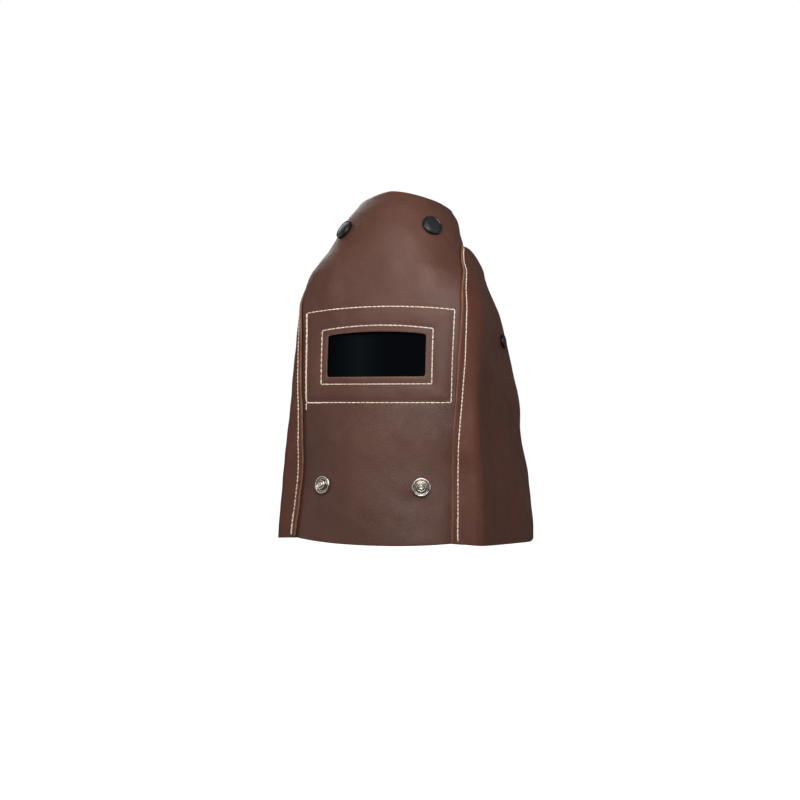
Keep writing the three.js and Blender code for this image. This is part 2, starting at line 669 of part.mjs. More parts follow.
function leatherHood() {
  const hood = new THREE.Group();
  hood.name = 'leather_welding_hood';
  const crown = crownSeat();
  const side = sideSeat();
  const stud = studSeat();
  const panel = sidePanel();
  hood.add(part('front_panel', frontPanel(), material('front_leather', COLOURS.front, 0.5, 0)));
  hood.add(part('side_panel_left', panel, material('left_leather', COLOURS.side, 0.5, 0)));
  hood.add(part('side_panel_right', mirrored(panel), material('right_leather', COLOURS.side, 0.5, 0)));
  hood.add(part('lens_pocket', lensPocket(), material('pocket_leather', COLOURS.pocket, 0.8, 0)));
  hood.add(part('lens', lens(), material('lens_glass', COLOURS.lens, 0.1, 0)));
  hood.add(part('crown_snap_left', crownSnap(crown), material('crown_cap_left', COLOURS.snap, 0.35, 0)));
  hood.add(part('crown_snap_right', crownSnap(mirroredSeat(crown)), material('crown_cap_right', COLOURS.snap, 0.35, 0)));
  hood.add(part('side_snap_left', sideSnap(side), material('side_cap_left', COLOURS.snap, 0.35, 0)));
  hood.add(part('side_snap_right', sideSnap(mirroredSeat(side)), material('side_cap_right', COLOURS.snap, 0.35, 0)));
  hood.add(part('bib_stud_left', bibStud(stud), material('nickel_left', COLOURS.nickel, 0.25, 1)));
  hood.add(part('bib_stud_right', bibStud(mirroredSeat(stud)), material('nickel_right', COLOURS.nickel, 0.25, 1)));
  hood.add(part('head_strap', headStrap(), material('elastic', COLOURS.strap, 0.9, 0)));
  return hood;
}

export default leatherHood();
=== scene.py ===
import math

import bpy
import numpy as np
from mathutils import Matrix, Vector


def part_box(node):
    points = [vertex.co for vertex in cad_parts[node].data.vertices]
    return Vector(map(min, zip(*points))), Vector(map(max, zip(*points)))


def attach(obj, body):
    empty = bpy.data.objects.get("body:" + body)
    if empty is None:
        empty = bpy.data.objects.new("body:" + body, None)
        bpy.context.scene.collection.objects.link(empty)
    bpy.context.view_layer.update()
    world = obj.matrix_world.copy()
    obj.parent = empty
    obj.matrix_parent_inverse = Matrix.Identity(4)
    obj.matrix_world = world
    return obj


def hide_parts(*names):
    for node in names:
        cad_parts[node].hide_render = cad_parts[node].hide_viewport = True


# Leather welding hood. The surface is worked out in millimetres, with the same named sizes as the
# solids, and every mesh is made in metres. The front looks along -Y and the wearer's left is +X.

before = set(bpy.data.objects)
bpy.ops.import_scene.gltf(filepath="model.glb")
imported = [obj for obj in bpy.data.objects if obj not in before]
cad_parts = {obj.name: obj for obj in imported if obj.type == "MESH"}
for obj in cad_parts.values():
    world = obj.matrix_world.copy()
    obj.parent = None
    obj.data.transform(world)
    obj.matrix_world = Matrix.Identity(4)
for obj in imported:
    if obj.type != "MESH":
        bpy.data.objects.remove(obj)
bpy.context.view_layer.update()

MM = 0.001
BODY = "root"
SIDES = (("left", 1), ("right", -1))

# Overall sizes of the leather body
HOOD_HEIGHT = 335
HEM_DROP = 192
HALF_WIDTH = 112
FRONT_DEPTH = 179
LEATHER = 2
GAP = 0.3

# Outline of the body from hem to crown, as shares of the sizes above
SECTION_COLUMNS = (
    "rise", "front", "round",
    "seamWide", "seamDeep", "foldWide", "foldDeep", "backWide", "backDeep", "bulge",
)
SECTION_ROWS = (
    (0.000, 1.000, 2.2, 0.690, 0.896, 0.915, 0.832, 0.982, -0.067, 0.030),
    (0.185, 0.938, 2.3, 0.664, 0.835, 0.890, 0.800, 0.920, -0.056, 0.020),
    (0.290, 0.913, 2.4, 0.668, 0.829, 0.858, 0.793, 0.857, -0.045, 0.020),
    (0.394, 0.886, 2.7, 0.682, 0.813, 0.841, 0.760, 0.830, -0.073, 0.020),
    (0.543, 0.860, 3.0, 0.704, 0.796, 0.834, 0.720, 0.732, -0.073, 0.004),
    (0.648, 0.844, 2.7, 0.706, 0.777, 0.812, 0.659, 0.678, -0.011, 0.004),
    (0.707, 0.830, 3.2, 0.698, 0.752, 0.762, 0.587, 0.643, 0.084, 0.006),
    (0.758, 0.816, 3.8, 0.680, 0.682, 0.717, 0.514, 0.611, 0.123, 0.006),
    (0.788, 0.805, 3.6, 0.634, 0.626, 0.662, 0.475, 0.600, 0.142, 0.005),
    (0.836, 0.782, 3.0, 0.577, 0.524, 0.598, 0.425, 0.588, 0.190, 0.000),
    (0.887, 0.752, 2.5, 0.549, 0.470, 0.560, 0.400, 0.522, 0.320, 0.000),
    (0.955, 0.685, 2.3, 0.513, 0.440, 0.515, 0.375, 0.477, 0.300, 0.000),
    (1.000, 0.615, 2.1, 0.438, 0.402, 0.440, 0.335, 0.407, 0.270, 0.000),
)
SECTIONS = {name: np.array(values) for name, values in zip(SECTION_COLUMNS, zip(*SECTION_ROWS))}

# Soft folds and dents: across, up, wide and tall are shares, lift is in millimetres outwards
DENT_COLUMNS = ("across", "up", "wide", "tall", "lift")
DENTS = [dict(zip(DENT_COLUMNS, row)) for row in (
    (1.28, 0.62, 0.13, 0.12, 1.6),
    (1.62, 0.62, 0.16, 0.10, -1.5),
    (1.42, 0.28, 0.16, 0.13, -4.0),
    (1.78, 0.09, 0.18, 0.09, 3.5),
    (0.62, 0.07, 0.22, 0.07, -1.6),
    (0.66, 0.73, 0.16, 0.07, 1.6),
)]
# Dents of one side only, with across negative on the wearer's right
OWN_DENTS = [dict(zip(DENT_COLUMNS, row)) for row in (
    (-0.95, 0.79, 0.16, 0.070, 4.4),
    (-0.84, 0.86, 0.20, 0.060, 2.0),
    (-1.00, 0.68, 0.16, 0.060, 1.8),
    (-0.78, 0.08, 0.18, 0.050, -2.0),
    (-0.25, 0.19, 0.14, 0.120, 1.2),
    (0.53, 0.12, 0.16, 0.030, -1.6),
    (0.87, 0.08, 0.10, 0.050, 1.0),
)]

SEAM_TOP = 0.836
LAP = 12
LAP_NARROWING = 0.45
LAP_NARROWS_FROM = 0.7
LIP_LIFT = 1.1
MARGIN_FADE = 0.06

CROWN_FALL = 15.5
CROWN_FALL_POWER = 1.35
SIDE_TOP_FALL = 14
SIDE_TOP_START = 0.68
HEM_SEAM_LIFT = 2.5
HEM_BACK_FALL = 12
HEM_REACH = 0.25
HEM_CORNER = 6
HEM_CORNER_REACH = 0.07
HEM_CORNER_LIFT = 5
HEM_CORNER_FROM = 0.86
FOLD_FRONT_SHARE = 0.6
FOLD_BACK_REACH = 20
FOLD_BACK_SHARE = 0.4
FOLD_CRISPNESS = 0.6
CRISP_BELOW = 0.3
SOFT_ABOVE = 0.6
BULGE_EASE = 0.15

WINDOW_WIDTH = 99.6
WINDOW_HEIGHT = 40
WINDOW_MIDDLE = -17.5
WINDOW_CORNER = 2.6
ARCH_RISE = 3
LENS_WIDTH = 108
LENS_HEIGHT = 51
LENS_THICK = 3
POCKET_TOP = 32
POCKET_BOTTOM = -67
POCKET_HALF_SHARE = 0.955
POCKET_ROOM = 4
POCKET_SLOPE = 0.45
POCKET_EASE = 1.2

CROWN_SNAP = {"radius": 10, "height": 4.2, "wide": 44, "up": HOOD_HEIGHT - HEM_DROP - 37}
SIDE_SNAP = {"radius": 7.25, "height": 3.4, "from_back": 26, "up": 0}
BIB_STUD = {"radius": 8.75, "height": 4.6, "wide": 49, "up": 53 - HEM_DROP}
POST_RADIUS = 2.2
WASHER_RADIUS = 6
WASHER_THICK = 1
WASHER_SEAT = 0.8
WASHER_BEVEL = 0.3
WASHER_ROUNDING = 0.2
STRAP_WIDTH = 20
STRAP_THICK = 1.6
STRAP_SEAT = 0.4
STRAP_END = 13
STRAP_BACK = 113
STRAP_SLOPE = 17
STRAP_PULL = 0.55
NUDGE = 0.004
SOLVER_TURNS = 9
SOLVER_PACE = 0.8

# Fine unevenness of the hide: wave length and height in millimetres
HIDE_WAVES = (
    {"length": 70, "height": 0.42, "seed": 3},
    {"length": 22, "height": 0.10, "seed": 11},
)
WAVES_PER_LAYER = 9
WAVE_SPREAD = (0.7, 1.4)
LENS_CALM = 12

# Stitched rows round the window, in millimetres across and up the front
INNER_ROW = {"half_low": 55.6, "half_high": 55.8, "low": -44.2, "high": 7.1, "arch": 3.9}
OUTER_ROW = {"half_low": 73.0, "half_high": 74.5, "low": -61.5, "high": 24.6, "arch": 4.0}
ROW_GROOVE = 0.45
ROW_GROOVE_WIDE = 1.5
PILLOW = 0.8
PILLOW_EASE = 7
SEAM_ROW_SHARE = 0.47

# Camera of the photograph
CAMERA_PLACE = (0.4174, -1.2315, -0.059)
CAMERA_TURN = 20
CAMERA_LENS = 55.575
CAMERA_SENSOR = 36
FLOOR_HEIGHT = -0.42
FLOOR_SIZE = 12
FLOOR_GLOW = 0.95
SURROUND_LIGHT = 0.15

# Soft boxes in metres and watts: name, place, aim, size, power
LIGHTS = (
    ("key", (0.13, -0.55, 0.22), (0, -0.1, -0.02), (0.4, 0.4), 2.75),
    ("side", (1.3, -0.1, -0.03), (0, -0.1, -0.03), (0.8, 0.8), 2.2),
    ("fill", (-1.2, -0.75, 0.0), (0, -0.1, -0.05), (0.7, 0.7), 2.0),
    ("rim", (-0.75, 0.45, 0.75), (-0.03, -0.08, 0.1), (0.5, 0.6), 0.4),
    ("back", (-0.9, 1.1, 0.8), (0, 0, -0.05), (0.9, 0.9), 7),
)


def smooth(low, high, value):
    share = np.clip((value - low) / (high - low), 0, 1)
    return share * share * (3 - 2 * share)


# Smooth curve through one column of the sections table
def column(name, rise):
    knots = SECTIONS["rise"]
    values = SECTIONS[name]
    last = len(knots) - 1
    low = np.clip(np.searchsorted(knots, rise, side="left") - 1, 0, last - 1)
    before = np.maximum(np.arange(last + 1) - 1, 0)
    after = np.minimum(np.arange(last + 1) + 1, last)
    slopes = (values[after] - values[before]) / (knots[after] - knots[before])
    span = knots[low + 1] - knots[low]
    share = (rise - knots[low]) / span
    square = share * share
    cube = square * share
    start = (2 * cube - 3 * square + 1) * values[low] + (cube - 2 * square + share) * span * slopes[low]
    end = (3 * square - 2 * cube) * values[low + 1] + (cube - square) * span * slopes[low + 1]
    return start + end


# Distance from the middle plane and place along Y of the seam, the fold or the back edge
def corner(name, rise):
    return np.stack([column(name + "Wide", rise) * HALF_WIDTH, -column(name + "Deep", rise) * FRONT_DEPTH])


def side_spans(rise):
    seam, fold, back = (corner(name, rise) for name in ("seam", "fold", "back"))
    return np.hypot(*(fold - seam)), np.hypot(*(back - fold))


def side_length(rise):
    facet, plane = side_spans(rise)
    return facet + plane


# Front arc from the centre to the seam
def front_arc(share, rise):
    seam_x, seam_y = corner("seam", rise)
    front = column("front", rise) * FRONT_DEPTH
    depth = front + seam_y
    half = 2 * np.arctan2(depth, seam_x)
    across = np.minimum(share, 1)
    wide = seam_x * np.sin(half * across) / np.sin(half)
    bend = (1 - np.cos(half * across)) / (1 - np.cos(half))
    return wide, -front + depth * bend ** (column("round", rise) / 2)


# Side line: straight facet, rounded fold, then the side plane back to its free edge
def side_line(share, rise):
    seam, fold, back = (corner(name, rise) for name in ("seam", "fold", "back"))
    facet, plane = side_spans(rise)
    along = share * (facet + plane)
    softness = 1 - FOLD_CRISPNESS * (1 - smooth(CRISP_BELOW, SOFT_ABOVE, rise))
    before = facet * FOLD_FRONT_SHARE * softness
    after = np.minimum(FOLD_BACK_REACH, plane * FOLD_BACK_SHARE) * softness
    fold_way = (fold - seam) / facet
    back_way = (back - fold) / plane
    turn = np.clip((along - facet + before) / (before + after), 0, 1)
    rest = -before * (1 - turn) ** 2
    lead = after * turn ** 2
    straight = along < facet - before
    rounded = (along < facet + after) & ~straight
    x, y = np.select(
        [straight, rounded],
        [seam + fold_way * along, fold + fold_way * rest + back_way * lead],
        fold + back_way * (along - facet),
    )
    down = np.clip((along - facet) / plane, 0, 1)
    swell = 4 * down * (1 - down) * smooth(0, BULGE_EASE, down) * column("bulge", rise) * HALF_WIDTH
    return x + swell * back_way[1], y - swell * back_way[0]


# Height of a point: even rise, with the crown edge, side top edge and hem line let down
def height_at(across, rise):
    beyond = np.maximum(across - 1, 0)
    within = np.minimum(across, 1)
    crown = CROWN_FALL * within ** CROWN_FALL_POWER * smooth(SEAM_TOP, 1, rise)
    side_top = SIDE_TOP_FALL * beyond ** 2 * smooth(SIDE_TOP_START, SEAM_TOP, rise)
    near_hem = 1 - smooth(0, HEM_REACH, rise)
    facet, plane = side_spans(rise)
    facet_share = facet / (facet + plane)
    to_fold = np.clip(beyond / facet_share, 0, 1)
    to_back = np.clip((beyond - facet_share) / (1 - facet_share), 0, 1)
    hem = HEM_SEAM_LIFT * within ** 2 - HEM_SEAM_LIFT * to_fold - HEM_BACK_FALL * to_back
    at_corner = np.clip((to_back - HEM_CORNER_FROM) / (1 - HEM_CORNER_FROM), 0, 1)
    rounded = HEM_CORNER_LIFT * at_corner ** 2 * (1 - np.clip(rise / HEM_CORNER_REACH, 0, 1))
    return rise * HOOD_HEIGHT - HEM_DROP - crown - side_top + hem * near_hem + rounded


# Body without dents. across runs from -2 at one back edge through 0 at the front to 2 at the other.
def plain_point(across, rise):
    across, rise = np.broadcast_arrays(np.asarray(across, float), np.asarray(rise, float))
    size = np.abs(across)
    front_x, front_y = front_arc(size, rise)
    side_x, side_y = side_line(np.maximum(size - 1, 0), rise)
    on_front = size <= 1
    x = np.where(on_front, front_x, side_x) * np.sign(across)
    return np.stack([x, np.where(on_front, front_y, side_y), height_at(size, rise)], axis=-1)


def unit(vectors):
    return vectors / np.linalg.norm(vectors, axis=-1, keepdims=True)


def outwards(point_at, across, rise):
    low = np.clip(rise - NUDGE, 0, 1)
    high = np.clip(rise + NUDGE, 0, 1)
    sideways = point_at(across + NUDGE, rise) - point_at(across - NUDGE, rise)
    upwards = point_at(across, high) - point_at(across, low)
    return unit(np.cross(sideways, upwards))


def dent_at(across, rise):
    lift = 0
    for dents, place in ((DENTS, np.abs(across)), (OWN_DENTS, across)):
        for dent in dents:
            sideways = (place - dent["across"]) / dent["wide"]
            upwards = (rise - dent["up"]) / dent["tall"]
            lift = lift + dent["lift"] * np.exp(-sideways ** 2 - upwards ** 2)
    return lift


# Uneven field made of a few sine waves in seeded directions
def waves(points, length, height, seed):
    draw = np.random.default_rng(seed)
    ways = unit(draw.normal(size=(WAVES_PER_LAYER, 3))) * 2 * math.pi / length
    ways = ways * draw.uniform(*WAVE_SPREAD, (WAVES_PER_LAYER, 1))
    phases = draw.uniform(0, 2 * math.pi, WAVES_PER_LAYER)
    total = np.zeros(points.shape[:-1])
    for way, phase in zip(ways, phases):
        total += np.sin(points @ way + phase)
    return total * height * math.sqrt(2 / WAVES_PER_LAYER)


# The hide is calm over the lens pocket, where it lies close to the flat lens
def unevenness(points):
    beside = np.abs(points[..., 0]) - LENS_WIDTH / 2
    above = np.abs(points[..., 2] - WINDOW_MIDDLE) - LENS_HEIGHT / 2
    free = np.maximum(smooth(0, LENS_CALM, beside), smooth(0, LENS_CALM, above))
    free = np.where(points[..., 1] < 0, free, 1)
    return free * sum(waves(points, **layer) for layer in HIDE_WAVES)


def body_point(across, rise):
    plain = plain_point(across, rise)
    lift = dent_at(across, rise) + unevenness(plain)
    return plain + outwards(plain_point, across, rise) * lift[..., None]


def body_normal(across, rise):
    return outwards(body_point, across, rise)


def offset_point(across, rise, offset):
    offset = np.asarray(offset, float)
    return body_point(across, rise) + body_normal(across, rise) * offset[..., None]


# Share of the rise at which the body passes a height, at one place across
def rise_at(across, height):
    rise = (np.asarray(height, float) + HEM_DROP) / HOOD_HEIGHT + np.zeros_like(np.asarray(across, float))
    for _ in range(SOLVER_TURNS):
        rise = rise + (height - body_point(across, np.clip(rise, 0, 1))[..., 2]) / HOOD_HEIGHT
    return np.clip(rise, 0, 1)


# Place across and up the front that has a given distance from the middle plane and a height
def front_place(wide, height):
    wide, height = np.broadcast_arrays(np.asarray(wide, float), np.asarray(height, float))
    rise = (height + HEM_DROP) / HOOD_HEIGHT
    reach = HALF_WIDTH * SOLVER_PACE
    across = wide / reach
    for _ in range(2 * SOLVER_TURNS):
        point = body_point(across, np.clip(rise, 0, 1))
        across = across + (wide - point[..., 0]) / reach
        rise = rise + (height - point[..., 2]) / HOOD_HEIGHT
    return across, np.clip(rise, 0, 1)


def lap_share(rise):
    narrow = LAP_NARROWING * smooth(LAP_NARROWS_FROM, SEAM_TOP, rise)
    return LAP * (1 - narrow) / side_length(rise)


# Mesh made from points in millimetres and groups of faces with a like number of corners
def piece(name, points, groups, materials, face_slots=None, numbers=None):
    mesh = bpy.data.meshes.new(name)
    groups = [np.asarray(group, np.int32) for group in groups]
    corners = np.concatenate([group.ravel() for group in groups])
    sizes = np.concatenate([np.full(len(group), group.shape[1]) for group in groups])
    starts = np.concatenate([[0], np.cumsum(sizes)[:-1]]).astype(np.int32)
    mesh.vertices.add(len(points))
    mesh.vertices.foreach_set("co", (np.asarray(points) * MM).astype(np.float32).ravel())
    mesh.loops.add(len(corners))
    mesh.loops.foreach_set("vertex_index", corners)
    mesh.polygons.add(len(sizes))
    mesh.polygons.foreach_set("loop_start", starts)
    mesh.update(calc_edges=True)
    for surface in materials:
        mesh.materials.append(surface)
    if face_slots is not None:
        mesh.polygons.foreach_set("material_index", np.asarray(face_slots, np.int32))
    for label, values in (numbers or {}).items():
        layer = mesh.attributes.new(label, "FLOAT", "POINT")
        layer.data.foreach_set("value", np.asarray(values, np.float32))
    mesh.polygons.foreach_set("use_smooth", np.ones(len(mesh.polygons), bool))
    mesh.validate()
    made = bpy.data.objects.new(name, mesh)
    bpy.context.scene.collection.objects.link(made)
    return made


def dressed(made, slot, *nodes):
    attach(made, BODY)
    if nodes:
        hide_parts(*nodes)
    return made


# Quads of a grid, leaving out a hole given as (first row, last row, first place, last place)
def grid_quads(rows, places, hole=None):
    kept = np.ones((rows - 1, places - 1), bool)
    if hole:
        kept[hole[0]:hole[1], hole[2]:hole[3]] = False
    row, place = np.nonzero(kept)
    first = row * places + place
    return np.stack([first, first + 1, first + places + 1, first + places], axis=1)


# Round trip of grid corners along a border, anticlockwise as seen from outside
def border(row_low, row_high, place_low, place_high):
    low = [(row_low, place) for place in range(place_low, place_high)]
    right = [(row, place_high) for row in range(row_low, row_high)]
    high = [(row_high, place) for place in range(place_high, place_low, -1)]
    left = [(row, place_low) for row in range(row_high, row_low, -1)]
    return low + right + high + left


RIM_TURNS = (0.12, 0.30, 0.5, 0.70, 0.88)
RIM_SWELL = 0.32
WEAR_REACH = 3.0
EDGE_CHUNK = 40
GRAIN, RAW, SUEDE = 0, 1, 2


# Leather sheet with a grain face, a suede face and a raw, slightly rounded cut edge
def leather_sheet(name, outer, inner, materials, hole=None):
    rows, places = outer.shape[:2]
    count = rows * places
    points = [outer.reshape(-1, 3), inner.reshape(-1, 3)]
    quads = grid_quads(rows, places, hole)
    faces = [quads, count + quads[:, ::-1]]
    slots = [GRAIN] * len(quads) + [SUEDE] * len(quads)
    loops = [(border(0, rows - 1, 0, places - 1), 1)]
    if hole:
        loops.append((border(hole[0], hole[1], hole[2], hole[3]), -1))
    start = 2 * count
    for loop, way in loops:
        index = np.array(loop)
        rim_outer = outer[index[:, 0], index[:, 1]]
        rim_inner = inner[index[:, 0], index[:, 1]]
        along = np.roll(rim_outer, -1, axis=0) - np.roll(rim_outer, 1, axis=0)
        through = unit(rim_outer - rim_inner)
        away = unit(np.cross(along, through)) * way
        thick = np.linalg.norm(rim_outer - rim_inner, axis=-1, keepdims=True)
        rings = [index[:, 0] * places + index[:, 1]]
        for turn in RIM_TURNS:
            swell = RIM_SWELL * math.sqrt(max(1 - (2 * turn - 1) ** 4, 0))
            points.append(rim_outer + (rim_inner - rim_outer) * turn + away * swell * np.minimum(thick, 1))
            rings.append(np.arange(start, start + len(loop)))
            start += len(loop)
        rings.append(count + rings[0])
        for near, far in zip(rings[:-1], rings[1:]):
            step = np.roll(near, -1)
            far_step = np.roll(far, -1)
            strip = np.stack([near, far, far_step, step], axis=1)
            strip = strip if way == 1 else strip[:, ::-1]
            faces.append(strip)
            slots += [RAW] * len(strip)
    points = np.concatenate(points)
    return piece(name, points, faces, materials, slots, {"wear": edge_wear(points, outer, loops, count)})


# Closeness of each grid point to a cut edge, from 0 to 1
def edge_wear(points, outer, loops, count):
    edges = np.concatenate([outer[tuple(np.array(loop).T)] for loop, _ in loops])
    wear = np.ones(len(points))
    grid = points[:count]
    nearest = np.full(count, np.inf)
    for chunk in np.array_split(edges, max(len(edges) // EDGE_CHUNK, 1)):
        gaps = np.linalg.norm(grid[:, None, :] - chunk[None, :, :], axis=-1)
        nearest = np.minimum(nearest, gaps.min(axis=1))
    closeness = np.exp(-nearest / WEAR_REACH)
    wear[:count] = closeness
    wear[count:2 * count] = closeness
    return wear


# How far a place on the front lies outside a stitched row, in millimetres
def beyond_row(x, z, row):
    share = (z - row["low"]) / (row["high"] - row["low"])
    half = row["half_low"] + (row["half_high"] - row["half_low"]) * share
    top = row["high"] + row["arch"] * (1 - (np.abs(x) / half) ** 2)
    return np.maximum(np.maximum(np.abs(x) - half, row["low"] - z), z - top)


# Relief of the front face: leather swells between the two rows and sinks along each of them
def front_relief(points):
    x, z = points[..., 0], points[..., 2]
    inner = beyond_row(x, z, INNER_ROW)
    outer = beyond_row(x, z, OUTER_ROW)
    swell = PILLOW * smooth(0, PILLOW_EASE, inner) * smooth(0, PILLOW_EASE, -outer)
    grooves = np.exp(-(inner / ROW_GROOVE_WIDE) ** 2) + np.exp(-(outer / ROW_GROOVE_WIDE) ** 2)
    return swell - ROW_GROOVE * grooves


WINDOW_COLUMNS = 40
WINDOW_SIDE_COLUMNS = 18
MARGIN_COLUMNS = 6
WINDOW_ROWS = 30
BELOW_ROWS = 66
ABOVE_ROWS = 84
GRID_TURNS = 4
LINE_SAMPLES = 60
LINE_REACH = 1.2
CORNER_STEPS = 5


def window_sill():
    return WINDOW_MIDDLE - WINDOW_HEIGHT / 2


def window_top(x):
    share = np.clip(np.abs(x) / (WINDOW_WIDTH / 2), 0, 1)
    return WINDOW_MIDDLE + WINDOW_HEIGHT / 2 + ARCH_RISE * (1 - share ** 2)


def stepped(start, end, steps):
    return start + (end - start) * np.arange(1, steps + 1) / steps


# The window's sides by height, and its sill and top by place across, as short tables
def window_lines():
    heights = np.linspace(window_sill(), window_top(0) + ARCH_RISE, LINE_SAMPLES)
    places = np.linspace(-LINE_REACH, LINE_REACH, 4 * LINE_SAMPLES)
    left = front_place(-WINDOW_WIDTH / 2, heights)[0]
    right = front_place(WINDOW_WIDTH / 2, heights)[0]
    sill = rise_at(places, window_sill())
    top = sill
    for _ in range(GRID_TURNS):
        top = rise_at(places, window_top(body_point(places, top)[..., 0]))
    return heights, places, left, right, sill, top


# Places across and up the front, in grid lines that follow the window's outline
def window_grid(margin_at, rise_low, rise_high, steps_below, steps_above, end_across=1.0):
    heights, places, left, right, sill_line, top_line = window_lines()
    inside = np.linspace(0, 1, WINDOW_COLUMNS + 1)
    margin = stepped(2, 3, MARGIN_COLUMNS) if margin_at else np.array([])
    side = np.concatenate([inside, stepped(1, 2, WINDOW_SIDE_COLUMNS), margin])
    lines = np.concatenate([-side[:0:-1], side])
    levels = np.concatenate([
        np.linspace(0, 1, steps_below + 1), stepped(1, 2, WINDOW_ROWS), stepped(2, 3, steps_above),
    ])
    size = np.abs(lines)[None, :] + np.zeros((len(levels), 1))
    level = levels[:, None] + np.zeros_like(size)
    sign = np.sign(lines)[None, :]
    rise = rise_low + (rise_high - rise_low) * level / 3
    across = sign * size / 3
    for _ in range(GRID_TURNS):
        height = body_point(across, rise)[..., 2]
        edge = np.where(sign < 0, -np.interp(height, heights, left), np.interp(height, heights, right))
        across = np.where(size <= 1, edge * size, edge + (end_across - edge) * np.minimum(size - 1, 1))
        if margin_at:
            across = np.where(size > 2, 1 + margin_at(rise) * (size - 2), across)
        across = across * sign
        sill = np.interp(across, places, sill_line)
        top = np.interp(across, places, top_line)
        rise = np.select(
            [level <= 1, level <= 2],
            [rise_low + (sill - rise_low) * level, sill + (top - sill) * (level - 1)],
            top + (rise_high - top) * (level - 2),
        )
    middle = len(lines) // 2
    hole = (steps_below, steps_below + WINDOW_ROWS, middle - WINDOW_COLUMNS, middle + WINDOW_COLUMNS)
    return round_corners(across, rise, hole) + (hole,)


# Moves the grid corners beside each corner of the window onto a small arc
def round_corners(across, rise, hole):
    row_low, row_high, place_low, place_high = hole
    for row, row_way in ((row_low, 1), (row_high, -1)):
        for place, place_way in ((place_low, 1), (place_high, -1)):
            at = body_point(across[row, place], rise[row, place])
            for row_step, place_step in ((1, 0), (0, 1)):
                for step in range(CORNER_STEPS):
                    near = (row + row_way * row_step * step, place + place_way * place_step * step)
                    point = body_point(across[near], rise[near])
                    away = math.hypot(point[0] - at[0], point[2] - at[2])
                    if away > WINDOW_CORNER or (step == 0 and place_step):
                        continue
                    angle = math.pi / 4 * (1 - away / WINDOW_CORNER)
                    if place_step:
                        angle = math.pi / 2 - angle
                    x = at[0] + place_way * WINDOW_CORNER * (1 - math.cos(angle))
                    z = at[2] + row_way * WINDOW_CORNER * (1 - math.sin(angle))
                    across[near], rise[near] = front_place(x, z)
    return across, rise


def front_margin(rise):
    return np.maximum(lap_share(rise) * (1 - smooth(SEAM_TOP, SEAM_TOP + MARGIN_FADE, rise)), NUDGE)


def front_panel(materials):
    across, rise, hole = window_grid(front_margin, 0.0, 1.0, BELOW_ROWS, ABOVE_ROWS)
    body = body_point(across, rise)
    normal = body_normal(across, rise)
    relief = front_relief(body)[..., None]
    calm = smooth(0, 2, np.abs(across) - 1.0)[..., None]
    outer = body + normal * relief * (1 - calm)
    inner = body - normal * (LEATHER - np.maximum(relief, 0) * (1 - calm))
    made = leather_sheet("front_leather_panel", outer, inner, materials, hole)
    return dressed(made, "front_leather", "front_panel")


SIDE_ROWS = 150
SIDE_COLUMNS = 74
LAP_COLUMNS = 9
LIP_WANDER = 0.3
LIP_WAVE = 60
LIP_SEED = 21
EDGE_WANDER = 0.3
EDGE_WAVE = 55
EDGE_SEED = 5
TUCK_BACK = 4.5
TUCK_THIN = 1.3
TUCK_FROM = 0.66
TUCK_TO = 0.73


# Slow uneven wave along a seam
def seam_wave(rise, sign, length, height, seed):
    line = np.stack([rise * HOOD_HEIGHT, sign * length + 0 * rise, 0 * rise], axis=-1)
    return waves(line, length, height, seed)


# Near its top the wearer's right margin is skived thin and tucked behind the bulge of the front
def tuck(rise, sign):
    return smooth(TUCK_FROM, TUCK_TO, rise) if sign < 0 else 0 * rise


# Place across the lapped margin, from the seam line at 0 to the end of the lap at 1
def lap_place(across, rise):
    return np.clip((across - 1) / lap_share(rise), 0, 1)


# Lift of the lapped margin over the front, greatest at its raw edge
def lip_lift(across, rise, sign):
    lift = LIP_LIFT + seam_wave(rise, sign, LIP_WAVE, LIP_WANDER, LIP_SEED)
    return lift * (1 - lap_place(across, rise)) ** 2 * (1 - tuck(rise, sign))


# Outer face of the margin above its inner face
def margin_thickness(across, rise, sign):
    return LEATHER - TUCK_THIN * (1 - lap_place(across, rise)) * tuck(rise, sign)


def seam_groove(across, rise):
    away = ((across - 1) - SEAM_ROW_SHARE * lap_share(rise)) * side_length(rise)
    return -ROW_GROOVE * np.exp(-(away / ROW_GROOVE_WIDE) ** 2)


def side_panel(name, sign, node, materials):
    rise = np.linspace(0, SEAM_TOP, SIDE_ROWS)[:, None]
    length = side_length(rise)
    corner_cut = HEM_CORNER * (1 - np.clip(rise / HEM_CORNER_REACH, 0, 1)) ** 2 / length
    margin = lap_share(rise)
    wander = seam_wave(rise, sign, EDGE_WAVE, EDGE_WANDER, EDGE_SEED) + TUCK_BACK * tuck(rise, sign)
    lap = np.linspace(0, 1, LAP_COLUMNS + 1)[None, :]
    rest = stepped(0, 1, SIDE_COLUMNS)[None, :]
    across = np.concatenate([
        1 + wander / length * (1 - lap) + margin * lap,
        1 + margin + (1 - margin - corner_cut) * rest,
    ], axis=1)
    rise = rise + np.zeros_like(across)
    inside = GAP + lip_lift(across, rise, sign)
    outside = inside + margin_thickness(across, rise, sign) + seam_groove(across, rise)
    outer = offset_point(sign * across, rise, outside)
    inner = offset_point(sign * across, rise, inside)
    if sign < 0:
        outer = outer[:, ::-1]
        inner = inner[:, ::-1]
    return dressed(leather_sheet(name, outer, inner, materials), "side_leather", node)


# Lean of the lens, its direction into the hood and its centre
def lens_place():
    edges = np.array([-1, 1]) * LENS_HEIGHT / 2 + WINDOW_MIDDLE
    low, high = offset_point(np.zeros(2), rise_at(np.zeros(2), edges), -LEATHER)
    lean = math.atan2(high[1] - low[1], high[2] - low[2])
    inwards = np.array([0, math.cos(lean), -math.sin(lean)])
    lens_low, lens_high = (np.array(corner_at) / MM for corner_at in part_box("lens"))
    return lean, inwards, (lens_low + lens_high) / 2


